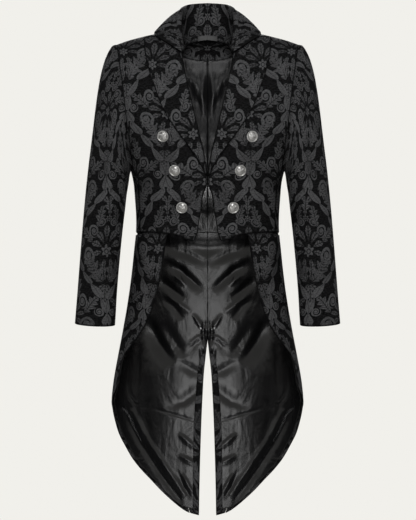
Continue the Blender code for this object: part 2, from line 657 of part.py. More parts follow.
def collar_section(place):
    """Middle line of the collar's cloth, up its stand, over the roll and down its fall."""
    read = {name: COLLAR.read(name, place) for name in COLLAR.values}
    neck, roll, edge = (
        np.array([read[part + axis] for axis in ("_x", "_y", "_z")])
        for part in ("neck", "roll", "edge"))
    out = (edge - neck) * (1, 1, 0)
    out /= np.linalg.norm(out)
    height = np.linalg.norm(roll - neck)
    radius = min(COLLAR_ROLL, 0.35 * height)
    down = np.array([0.0, 0.0, -radius])
    inner = roll - out * radius + down
    outer = roll + out * radius + down
    stand = [spread(neck, inner, s) + out * COLLAR_STAND_BULGE * height * 4 * s * (1 - s)
             for s in STAND_SHARES]
    swell = COLLAR_FALL_BULGE * np.linalg.norm(edge - outer) * (1 - place ** 4)
    swell = swell * (out * COLLAR_SWELL_OUT + (0.0, 0.0, COLLAR_SWELL_UP))
    fall = [spread(outer, edge, s) + swell * 4 * s * (1 - s) for s in FALL_SHARES]
    return np.array(stand + [roll] + fall)


def clear_of_body(points, distance):
    """Fall points moved out where they would lie nearer to the body than a distance."""
    x, y, z = np.moveaxis(points, -1, 0)
    turn = turn_of(x, z - distance)
    turn = np.where(y > 0, turn, math.pi - turn)
    limit = np.abs(body_point(turn, z - distance)[..., 1]) + distance
    above = z - distance > SHOULDER_LINE.read("z", x)
    nearest = np.where(above, 0.0, limit)
    return np.stack([x, np.sign(y) * np.maximum(np.abs(y), nearest), z], axis=-1)


def collar_patch():
    """Middle surface of the whole collar from one front end round to the other."""
    half = np.array([collar_section(place) for place in even(COLLAR_COLUMNS)])
    first_fall = len(STAND_SHARES) + 1
    half[:, first_fall:] = clear_of_body(half[:, first_fall:], COLLAR_LIFT + COLLAR_CLOTH / 2)
    half = np.swapaxes(half, 0, 1)
    return np.concatenate([mirrored(half), half[:, 1:]], axis=1)[:, ::-1]


def add_collar():
    """The collar, turned down over its stand, and the plain label on the stand's inside."""
    middle = collar_patch()
    normals = shared_normals([middle])[0]
    points = middle + normals * COLLAR_CLOTH / 2
    add_wall("collar", points, normals, COLLAR_CLOTH, PATTERNED_CLOTH, COLLAR_COLUMNS)
    centre = slice(COLLAR_COLUMNS - LABEL_COLUMNS, COLLAR_COLUMNS + LABEL_COLUMNS + 1)
    label, label_normals = resampled(
        points[:2, centre], normals[:2, centre], (1, 1), LABEL_MARGINS)
    lift = SEAM_GAP + LABEL_CLOTH_THICKNESS
    add_wall("label", label + label_normals * lift, label_normals, LABEL_CLOTH_THICKNESS,
             LABEL_CLOTH, LABEL_COLUMNS)


def button_mesh(centre, axis):
    """A domed button with a rope rim, standing on a point along an axis."""
    side = np.cross(axis, (0.0, 0.0, 1.0))
    side /= np.linalg.norm(side)
    up = np.cross(side, axis)
    profile = BUTTON_PROFILE.values
    vertices = []
    for radius, height, rope in zip(profile["radius"], profile["height"], profile["rope"]):
        for k in range(BUTTON_SIDES):
            angle = 2 * math.pi * k / BUTTON_SIDES
            reach = radius + rope * ROPE_TWIST * (-1) ** k
            vertices.append(centre + axis * height
                            + reach * (side * math.cos(angle) + up * math.sin(angle)))
    vertices.append(centre + axis * profile["height"][-1])
    rings = len(profile["radius"])
    faces = [tuple(range(BUTTON_SIDES))]
    for ring in range(rings - 1):
        for k in range(BUTTON_SIDES):
            a = ring * BUTTON_SIDES + k
            b = ring * BUTTON_SIDES + (k + 1) % BUTTON_SIDES
            faces.append((b, a, a + BUTTON_SIDES, b + BUTTON_SIDES))
    last = (rings - 1) * BUTTON_SIDES
    for k in range(BUTTON_SIDES):
        faces.append((last + (k + 1) % BUTTON_SIDES, last + k, rings * BUTTON_SIDES))
    return vertices, faces


def front_normal(x, z):
    """Outward normal of the front's outer surface."""
    step = 0.002
    across = front_surface(x + step, z) - front_surface(x - step, z)
    down = front_surface(x, z - step) - front_surface(x, z + step)
    normal = np.cross(down, across)
    return normal / np.linalg.norm(normal)


def add_buttons():
    """Three buttons down each front."""
    for number, (x, z) in enumerate(BUTTON_PLACES, start=1):
        place = front_surface(x, z)
        axis = front_normal(x, z)
        for name, side in (("left", 1), ("right", -1)):
            mirror = np.array([side, 1, 1])
            vertices, faces = button_mesh((place + axis * BUTTON_LIFT) * mirror, axis * mirror)
            add_object(f"button_{name}_{number}", vertices, faces, OLD_SILVER)


def add_body_and_sleeves():
    """Fronts, sides, backs, skirts and sleeves, thickened along shared normals."""
    patches = outer_patches()
    sleeve = sleeve_patch(patches)
    *body_normals, sleeve_normals = shared_normals(list(patches.values()) + [sleeve])
    normals = dict(zip(patches, body_normals))
    for name, points in patches.items():
        add_pair(name, points, normals[name], CLOTH, PATTERNED_CLOTH)
    under = slice(UNDER_SLEEVE_FIRST, UNDER_SLEEVE_LAST + 1)
    add_pair("under_sleeve", sleeve[:, under], sleeve_normals[:, under], CLOTH, PATTERNED_CLOTH)
    top = list(range(UNDER_SLEEVE_LAST, sleeve.shape[1])) + list(range(1, UNDER_SLEEVE_FIRST + 1))
    add_pair("top_sleeve", sleeve[:, top], sleeve_normals[:, top], CLOTH, PATTERNED_CLOTH)
    add_linings(patches, normals)


def main():
    """Build the coat in an emptied scene."""
    for item in list(bpy.data.objects):
        bpy.data.objects.remove(item, do_unlink=True)
    add_body_and_sleeves()
    add_lapels()
    add_collar()
    add_buttons()


main()
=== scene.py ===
"""Looks of a man's tailcoat in figured cloth with a satin lining, hollow as if worn.

Lengths are metres, +Z is up and the coat faces -Y. Left and right are the wearer's own. Every
piece of cloth is a patch of one form, finer than its solid, with its creases placed one by one.
"""

from __future__ import annotations

import logging
import math
from dataclasses import dataclass, field
from enum import Enum
from typing import Callable, Sequence

import bpy
import numpy as np
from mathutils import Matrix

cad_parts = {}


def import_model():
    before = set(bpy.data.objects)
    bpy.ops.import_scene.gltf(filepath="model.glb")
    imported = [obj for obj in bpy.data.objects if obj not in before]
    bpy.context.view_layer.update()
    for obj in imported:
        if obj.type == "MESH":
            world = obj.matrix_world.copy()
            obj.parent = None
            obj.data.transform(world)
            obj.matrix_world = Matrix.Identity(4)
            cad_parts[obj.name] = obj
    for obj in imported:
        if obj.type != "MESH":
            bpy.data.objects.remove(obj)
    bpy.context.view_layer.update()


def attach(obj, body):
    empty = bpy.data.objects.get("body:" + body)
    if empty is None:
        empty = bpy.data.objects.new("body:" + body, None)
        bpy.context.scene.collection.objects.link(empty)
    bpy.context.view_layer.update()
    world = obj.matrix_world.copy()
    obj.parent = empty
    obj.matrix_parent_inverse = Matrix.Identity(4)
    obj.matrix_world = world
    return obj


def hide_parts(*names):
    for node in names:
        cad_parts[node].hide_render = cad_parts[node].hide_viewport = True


LOG = logging.getLogger("tailcoat")
Array = np.ndarray
Value = object

# Steps here for each step of a solid's grid, and steps round a rim
FINENESS = 6
RIM_STEPS = 4
# Gap at a seam, below zero because the cloth overlaps there
SEAM_GAP = -0.0008
# How near to the armhole creases fade, and which of its points are asked
HELD_REACH = 0.022
HELD_STEP = 4
# How soon creases fade where the cloth turns away, and how far their ends run on
FACING_FADE = 1.6
PATH_EXTENSION = 0.25
# Rounds that settle an edge, and the share of its room that an edge may move
SETTLE_ROUNDS = 6
ROOM_SHARE = 0.8
# What counts as lying on the centre line
CENTRE_LIMIT = 1e-6


class Table:
    """Rows under named columns, each column read as a smooth curve of the first one."""

    def __init__(self, columns: str, *rows: Sequence[float]) -> None:
        """Keep the rows, sorted by their first column.

        Args:
            columns: Names of the columns, parted by spaces.
            rows: One number for each column.
        """
        values = np.array(sorted(rows), dtype=float)
        self.key = values[:, 0]
        self.values = dict(zip(columns.split(), values.T))

    def read(self, column: str, at: Array | float) -> Array:
        """Value of a column at a key, flat beyond the table's ends.

        Args:
            column: The column's name.
            at: Keys to read it at.

        Returns:
            The values, in the shape of the keys.
        """
        values = self.values[column]
        at = np.clip(at, self.key[0], self.key[-1])
        slopes = np.gradient(values, self.key)
        i = np.clip(np.searchsorted(self.key, at) - 1, 0, len(self.key) - 2)
        step = self.key[i + 1] - self.key[i]
        t = (at - self.key[i]) / step
        start = (1 + 2 * t) * (1 - t) ** 2 * values[i] + t * (1 - t) ** 2 * step * slopes[i]
        end = t * t * (3 - 2 * t) * values[i + 1] - t * t * (1 - t) * step * slopes[i + 1]
        return start + end


def spread(start: Array | float, end: Array | float, shares: Array | float) -> Array:
    """Values between two, at the given shares of the way."""
    return start + (end - start) * shares


def even(count: int) -> Array:
    """Evenly spaced shares from 0 to 1, in a number of steps."""
    return np.linspace(0.0, 1.0, count + 1)


def unit(vectors: Array) -> Array:
    """Vectors of length 1 along the last axis."""
    return vectors / np.maximum(np.linalg.norm(vectors, axis=-1, keepdims=True), 1e-12)


def refined(points: Array, factor: int) -> Array:
    """Rows filled in along a smooth curve through the rows given.

    Args:
        points: Rows of anything.
        factor: Steps to make of each step between rows.

    Returns:
        The finer rows.
    """
    slopes = np.gradient(points, axis=0)
    places = np.linspace(0, len(points) - 1, (len(points) - 1) * factor + 1)
    i = np.minimum(places.astype(int), len(points) - 2)
    t = (places - i).reshape((-1,) + (1,) * (points.ndim - 1))
    start = (1 + 2 * t) * (1 - t) ** 2 * points[i] + t * (1 - t) ** 2 * slopes[i]
    end = t * t * (3 - 2 * t) * points[i + 1] - t * t * (1 - t) * slopes[i + 1]
    return start + end


def run_along(points: Array, axis: int) -> Array:
    """Length of cloth from the first row or column to each point.

    Args:
        points: Rows and columns of points.
        axis: 0 to run down the rows, 1 across the columns.

    Returns:
        The lengths, one for each point.
    """
    steps = np.linalg.norm(np.diff(points, axis=axis), axis=-1)
    start = np.zeros_like(np.take(steps, [0], axis=axis))
    return np.concatenate([start, np.cumsum(steps, axis=axis)], axis=axis)


def put_in_scene(name: str, data: bpy.types.ID) -> bpy.types.Object:
    """Add an object to the scene.

    Args:
        name: Its name.
        data: Its mesh, light or camera.

    Returns:
        The object.
    """
    thing = bpy.data.objects.new(name, data)
    bpy.context.scene.collection.objects.link(thing)
    return thing


@dataclass(frozen=True)
class Patch:
    """A patch of cloth: rows run down and columns across.

    Attributes:
        points: Places of its outer face.
        normals: Directions out of that face.
        lay: Places on the flat cloth, across and up, where the figure is woven.
    """

    points: Array
    normals: Array
    lay: Array

    def mirrored(self) -> Patch:
        """The same patch on the wearer's right."""
        flip = np.array((-1.0, 1.0, 1.0))
        return Patch((self.points * flip)[:, ::-1], (self.normals * flip)[:, ::-1],
                     self.lay[:, ::-1])

    def part(self, rows: slice, columns: slice | list[int]) -> Patch:
        """Some rows and columns of the patch."""
        return Patch(*(a[rows][:, columns] for a in (self.points, self.normals, self.lay)))

    def beside(self, other: Patch) -> Patch:
        """This patch and another one joined at its last column."""
        pairs = ((self.points, other.points), (self.normals, other.normals),
                 (self.lay, other.lay))
        return Patch(*(np.concatenate([a, b[:, 1:]], axis=1) for a, b in pairs))

    def raised(self, height: Array | float) -> Patch:
        """The patch moved out along its normals."""
        height = np.broadcast_to(height, self.points.shape[:2])[..., None]
        return Patch(self.points + self.normals * height, self.normals, self.lay)

    def trimmed(self, axis: int, start: Array | float, end: Array | float,
                finer: float = 1.0) -> Patch:
        """The patch with lengths of cloth taken off two opposite edges.

        Args:
            axis: 0 for the top and bottom, 1 for the first and last column.
            start: Length taken off at the start, one for all or one for each line.
            end: Length taken off at the end.
            finer: How many times as many steps to draw it with.

        Returns:
            The smaller patch.
        """
        both = np.concatenate([self.points, self.normals, self.lay], axis=-1)
        lines = np.swapaxes(both, 0, axis)
        run = run_along(lines[..., :3], 0)
        shares = even(round((len(lines) - 1) * finer))
        place = shares * (len(lines) - 1)
        below = np.minimum(place.astype(int), len(lines) - 2)
        wanted = run[below] + (run[below + 1] - run[below]) * (place - below)[:, None]
        wanted = start + wanted * (run[-1] - start - end) / run[-1]
        drawn = np.empty((len(shares),) + lines.shape[1:])
        for line in range(lines.shape[1]):
            for part in range(lines.shape[2]):
                drawn[:, line, part] = np.interp(
                    wanted[:, line], run[:, line], lines[:, line, part])
        both = np.swapaxes(drawn, 0, axis)
        return Patch(both[..., :3], both[..., 3:6], both[..., 6:])

    def cut(self) -> tuple[float, float, float]:
        """Width, length and area of the flat piece that the patch is cut from.

        Returns:
            Width, length and area, in metres and square metres.
        """
        width = float(run_along(self.points, 1)[:, -1].max())
        length = float(run_along(self.points, 0)[-1].max())
        down = self.points[1:, 1:] - self.points[:-1, :-1]
        across = self.points[:-1, 1:] - self.points[1:, :-1]
        area = float(np.linalg.norm(np.cross(down, across), axis=-1).sum() / 2)
        return width, length, min(area, width * length)


def shared_normals(patches: Sequence[Array]) -> list[Array]:
    """Outward normals of all patches, averaged where their points meet.

    Args:
        patches: Points of each patch.

    Returns:
        The normals of each patch.
    """
    sums = []
    for points in patches:
        faces = np.cross(points[1:, 1:] - points[:-1, :-1], points[:-1, 1:] - points[1:, :-1])
        total = np.zeros_like(points)
        for rows in (slice(None, -1), slice(1, None)):
            for columns in (slice(None, -1), slice(1, None)):
                total[rows, columns] += faces
        sums.append(total.reshape(-1, 3))
    places = np.round(np.concatenate([p.reshape(-1, 3) for p in patches]), 5) + 0.0
    _, owner = np.unique(places, axis=0, return_inverse=True)
    owner = owner.ravel()
    welded = np.zeros((owner.max() + 1, 3))
    np.add.at(welded, owner, np.concatenate(sums))
    flat = welded[owner]
    flat[np.abs(places[:, 0]) < 0.001, 0] = 0.0
    flat[(np.abs(places[:, 1]) < CENTRE_LIMIT) & (places[:, 2] > -0.02), 1] = 0.0
    ends = np.cumsum([p.shape[0] * p.shape[1] for p in patches])[:-1]
    return [unit(n).reshape(p.shape) for n, p in zip(np.split(flat, ends), patches)]


def edges_out(points: Array, normals: Array) -> list[tuple[tuple, Array, Array]]:
    """Directions out of the four edges of a patch, along its cloth.

    Args:
        points: Points of the patch.
        normals: Its normals.

    Returns:
        For each edge its place in the grid, its outward directions and the room inside it.
    """
    found = []
    every = slice(None)
    for edge, beside in (((0, every), (1, every)), ((-1, every), (-2, every)),
                         ((every, 0), (every, 1)), ((every, -1), (every, -2))):
        step = points[edge] - points[beside]
        out = unit(np.cross(np.gradient(points[edge], axis=0), normals[edge]))
        room = (out * step).sum(axis=-1, keepdims=True)
        found.append((edge, out * np.sign(room), np.abs(room)))
    return found


@dataclass(frozen=True)
class Wall:
    """A closed wall of cloth with a rounded rim.

    Attributes:
        patch: Its outer face.
        thickness: How thick the cloth is.
        gap: Room left all round, half of it on this side of a seam; below zero they overlap.
        uprights_unshaded: Whether its upright seams are left without the painted edge shade.
        edge_shade_width: Width of the painted shade along its edges, where the figure fades to the
            ground.
    """

    patch: Patch
    thickness: float
    gap: float = SEAM_GAP
    uprights_unshaded: bool = False
    edge_shade_width: float = 0.002

    def rim_order(self) -> Array:
        """Point numbers round the edge of the grid.

        Returns:
            The numbers, once round.
        """
        rows, columns = self.patch.points.shape[:2]
        grid = np.arange(rows * columns).reshape(rows, columns)
        return np.concatenate([grid[0], grid[1:, -1], grid[-1, -2::-1], grid[-2:0:-1, 0]])

    def drawn_in(self, rim: float) -> tuple[Array, Array]:
        """Middle of the cloth with its edges moved in, but for a gap where the coat's halves meet.

        Args:
            rim: How far the rounded rim will stand out from them again.

        Returns:
            Points of the middle, and directions out at its edges.
        """
        points = self.patch.raised(-rim).points
        moved, out = points.copy(), np.zeros_like(points)
        for edge, away, room in edges_out(points, self.patch.normals):
            reach = rim + np.where(np.abs(points[edge][:, :1]) < CENTRE_LIMIT, 0.0, self.gap / 2)
            moved[edge] -= away * np.minimum(reach, ROOM_SHARE * room)
            out[edge] += away
        return moved, unit(out)

    def inset(self) -> Array:
        """How far each point of the cloth lies in from its nearest edge.

        Returns:
            The distances, one for each point.
        """
        across, down = run_along(self.patch.points, 1), run_along(self.patch.points, 0)
        down = np.minimum(down, down[-1:] - down)
        return down if self.uprights_unshaded else np.minimum(down, np.minimum(across, across[:, -1:] - across))

    def mesh(self, name: str, inside: int) -> bpy.types.Mesh:
        """The wall's mesh, with the flat cloth's places as its map.

        Args:
            name: The mesh's name.
            inside: Material number of the inner face.

        Returns:
            The mesh.
        """
        half = self.thickness / 2
        rows, columns = self.patch.points.shape[:2]
        middle, out = self.drawn_in(half)
        middle, normals = middle.reshape(-1, 3), self.patch.normals.reshape(-1, 3)
        count = rows * columns
        rim = self.rim_order()
        out = out.reshape(-1, 3)[rim]
        layers = [middle + normals * half, middle - normals * half]
        rings = [rim]
        for step in range(1, RIM_STEPS):
            turn = math.pi * step / RIM_STEPS
            layers.append(middle[rim] + out * half * math.sin(turn)
                          + normals[rim] * half * math.cos(turn))
            rings.append(2 * count + (step - 1) * len(rim) + np.arange(len(rim)))
        rings.append(count + rim)
        a = (np.arange(rows - 1)[:, None] * columns + np.arange(columns - 1)).ravel()
        outer = np.stack([a, a + columns, a + columns + 1, a + 1], axis=1)
        strips = [np.stack([near, np.roll(near, -1), np.roll(far, -1), far], axis=1)
                  for near, far in zip(rings[:-1], rings[1:])]
        faces = np.concatenate([outer, count + outer[:, ::-1], *strips])
        lay = self.patch.lay.reshape(-1, 2)
        lays = np.concatenate([lay, lay] + [lay[rim]] * (RIM_STEPS - 1))
        mesh = bpy.data.meshes.new(name)
        mesh.from_pydata(np.concatenate(layers).tolist(), [], faces.tolist())
        mesh.shade_smooth()
        numbers = np.zeros(len(faces), np.int32)
        numbers[len(outer):2 * len(outer)] = inside
        mesh.polygons.foreach_set("material_index", numbers)
        used = np.zeros(len(mesh.loops), np.int32)
        mesh.loops.foreach_get("vertex_index", used)
        layer = mesh.uv_layers.new(name="lay")
        layer.data.foreach_set("uv", lays[used].astype(np.float32).ravel())
        # Painted shade at seams and edges: near them and on the rim the figure fades to the ground
        inset = np.minimum(self.inset().ravel() / self.edge_shade_width, 1.0)
        insets = np.concatenate([inset, inset, np.zeros((RIM_STEPS - 1) * len(rim))])
        mesh.attributes.new("inset", "FLOAT", "POINT").data.foreach_set(
            "value", insets.astype(np.float32))
        return mesh


class Hold(Enum):
    """How a piece of cloth is held."""

    HUNG = "hung"
    DRAPED = "draped"
    LAID = "laid"


@dataclass(frozen=True)
class Piece:
    """One named piece of cloth of the coat.

    Attributes:
        node: Name of the solid that it stands for.
        slot: Name of its material slot; not used.
        hold: How it is held; not used.
        rests_on: Solids that carry it; not used.
    """

    node: str
    slot: str
    hold: Hold
    rests_on: tuple[str, ...]

    def make(self, wall: Wall, finishes: Sequence[bpy.types.Material]) -> None:
        """Put the piece in the scene and state its cut.

        Args:
            wall: Its wall.
            finishes: Material of the outer face and, where it differs, of the inner one.
        """
        mesh = wall.mesh(self.node + "_cloth", len(finishes) - 1)
        for finish in finishes:
            mesh.materials.append(finish)
        piece = put_in_scene(self.node + "_cloth", mesh)
        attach(piece, "root")
        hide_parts(self.node)
        width, length, area = wall.patch.cut()
        LOG.info("%s: cut %.0f by %.0f mm, %.0f square cm", self.node, width * 1000,
                 length * 1000, area * 10000)


def make_pair(name: str, patch: Patch, thickness: float, finishes: Sequence[bpy.types.Material],
              hold: Hold, rests_on: Sequence[str] = (), uprights_unshaded: bool = False,
              edge_shade_width: float = 0.002) -> None:
    """The same piece on the wearer's left and right.

    Args:
        name: Name of both solids, without their side.
        patch: Outer face of the left one.
        thickness: How thick the cloth is.
        finishes: Materials of the outer and inner face.
        hold: How the cloth is held.
        rests_on: Names of what carries it, without their side.
        uprights_unshaded: Whether its upright seams are left without the painted edge shade.
        edge_shade_width: Width of the painted shade along its edges.
    """
    for side, face in (("left", patch), ("right", patch.mirrored())):
        carried = tuple(f"{carrier}_{side}" for carrier in rests_on)
        slot = "patterned_cloth" if finishes[0].name == "figured_cloth" else "satin_lining"
        wall = Wall(face, thickness, SEAM_GAP, uprights_unshaded, edge_shade_width)
        Piece(f"{name}_{side}", slot, hold, carried).make(wall, finishes)


@dataclass(frozen=True)
class Crease:
    """A soft ridge or trough across the cloth, seen from ahead or behind.

    Attributes:
        path: Places along it, across and up.
        height: How high it stands at its middle, below zero for a trough.
        right: How wide its side to the right of the path is.
        left: How wide its other side is.
        ends: Share of the height that is left at its ends.
    """

    path: tuple[tuple[float, float], ...]
    height: float
    right: float
    left: float
    ends: float = 0.0

    def raise_at(self, places: Array) -> Array:
        """How far it moves the cloth out at each place.

        Args:
            places: Places across and up, in the last axis.

        Returns:
            Heights in metres.
        """
        corners = np.array(self.path)
        if self.ends == 0:
            corners[0] += PATH_EXTENSION * (corners[0] - corners[1])
            corners[-1] += PATH_EXTENSION * (corners[-1] - corners[-2])
        lengths = np.linalg.norm(np.diff(corners, axis=0), axis=1)
        starts = np.concatenate([[0.0], np.cumsum(lengths)])
        nearest = np.full(places.shape[:-1], np.inf)
        signed = np.zeros(places.shape[:-1])
        share = np.zeros(places.shape[:-1])
        for k, (a, b) in enumerate(zip(corners[:-1], corners[1:])):
            run = b - a
            offset = places - a
            t = np.clip(offset @ run / (run @ run), 0.0, 1.0)
            distance = np.linalg.norm(offset - t[..., None] * run, axis=-1)
            side = np.sign(offset[..., 0] * run[1] - offset[..., 1] * run[0])
            closer = distance < nearest
            nearest = np.where(closer, distance, nearest)
            signed = np.where(closer, side, signed)
            share = np.where(closer, (starts[k] + t * lengths[k]) / starts[-1], share)
        width = np.where(signed > 0, self.right, self.left)
        along = self.ends + (1 - self.ends) * np.sin(math.pi * share)
        return self.height * along * np.exp(-((nearest / width) ** 2))


def creased(patch: Patch, creases: Sequence[Crease], facing: float,
            held: Array | None = None) -> Patch:
    """The patch with creases on the side of the coat that faces one way.

    Args:
        patch: The smooth patch.
        creases: What to lay on it.
        facing: -1 for creases seen from ahead, 1 for those seen from behind, 0 for all.
        held: Points of a seam near which the cloth keeps its place.

    Returns:
        The creased patch.
    """
    places = np.stack([np.abs(patch.points[..., 0]), patch.points[..., 2]], axis=-1)
    height = sum(crease.raise_at(places) for crease in creases)
    if facing:
        height = height * np.clip(facing * patch.normals[..., 1] * FACING_FADE, 0.0, 1.0)
    if held is not None:
        nearest = np.full(height.shape, np.inf)
        for point in held:
            nearest = np.minimum(nearest, ((patch.points - point) ** 2).sum(axis=-1))
        share = np.clip(np.sqrt(nearest) / HELD_REACH, 0.0, 1.0)
        height = height * share * share * (3.0 - 2.0 * share)
    return patch.raised(height)


@dataclass(frozen=True)
class BodyForm:
    """The coat's outer surface: level sections that close over the shoulders.

    Attributes:
        squareness: Power of the superellipses.
        front_slope: Fall below the shoulder line at which the front is at full depth.
        back_slope: The same behind.
        sections: Half widths and depths by height.
        shoulder_line: Height of the shoulder seam.
    """

    squareness: float = 2.4
    front_slope: float = 0.200
    back_slope: float = 0.070
    sections: Table = Table(
        "z half_width front_depth back_depth",
        (0.030, 0.300, 0.116, 0.104), (-0.018, 0.300, 0.117, 0.104),
        (-0.050, 0.284, 0.119, 0.105), (-0.097, 0.256, 0.124, 0.110),
        (-0.143, 0.231, 0.128, 0.114), (-0.180, 0.218, 0.130, 0.116),
        (-0.230, 0.2035, 0.130, 0.116), (-0.270, 0.188, 0.129, 0.114),
        (-0.306, 0.1765, 0.126, 0.110), (-0.327, 0.1714, 0.123, 0.106),
        (-0.373, 0.1668, 0.116, 0.098), (-0.407, 0.1645, 0.112, 0.095),
        (-0.442, 0.1645, 0.111, 0.096), (-0.488, 0.1690, 0.112, 0.101),
        (-0.534, 0.1737, 0.113, 0.107), (-0.603, 0.1829, 0.114, 0.115),
        (-0.672, 0.1948, 0.115, 0.121), (-0.741, 0.2080, 0.116, 0.126),
        (-0.787, 0.2160, 0.116, 0.129), (-0.833, 0.2208, 0.116, 0.132),
        (-0.900, 0.2205, 0.116, 0.135), (-1.100, 0.2205, 0.116, 0.138),
    )
    shoulder_line: Table = Table(
        "x z",
        (0.070, 0.0140), (0.090, 0.0135), (0.119, 0.0095),
        (0.152, 0.0020), (0.185, -0.0070), (0.222, -0.0205),
    )

    def half_width(self, z: Array | float) -> Array:
        """Half the width of the level section at a height."""
        return self.sections.read("half_width", z)

    def turn_of(self, x: Array | float, z: Array | float) -> Array:
        """Angle from the centre back at which the section at z reaches x."""
        return np.arcsin(np.clip(x / self.half_width(z), 0.0, 1.0) ** (self.squareness / 2))

    def point(self, turn: Array | float, z: Array | float) -> Array:
        """Point of the surface on the wearer's left.

        Args:
            turn: Angle from the centre back to the centre front.
            z: Height.

        Returns:
            The point or points.
        """
        x = self.half_width(z) * np.sin(turn) ** (2 / self.squareness)
        fall = np.maximum(self.shoulder_line.read("z", x) - z, 0.0)
        facing = np.cos(turn)
        behind = facing > 0
        back, front = self.sections.read("back_depth", z), self.sections.read("front_depth", z)
        reach = fall / np.where(behind, self.back_slope, self.front_slope)
        closing = np.sqrt(1 - (1 - np.minimum(reach, 1.0)) ** 2)
        depth = np.where(behind, back, -front) * closing
        return np.stack([x, depth * np.abs(facing) ** (2 / self.squareness), z], axis=-1)

    def ahead(self, x: Array | float, z: Array | float) -> Array:
        """Point of the front's surface at a place seen from ahead."""
        return self.point(math.pi - self.turn_of(x, z), z)

    def normal_ahead(self, x: float, z: float, step: float = 0.002) -> Array:
        """Direction out of the front's surface at a place seen from ahead.

        Args:
            x: Place across.
            z: Height.
            step: How far off its neighbours are taken.

        Returns:
            The direction.
        """
        across = self.ahead(x + step, z) - self.ahead(x - step, z)
        down = self.ahead(x, z - step) - self.ahead(x, z + step)
        return unit(np.cross(down, across))


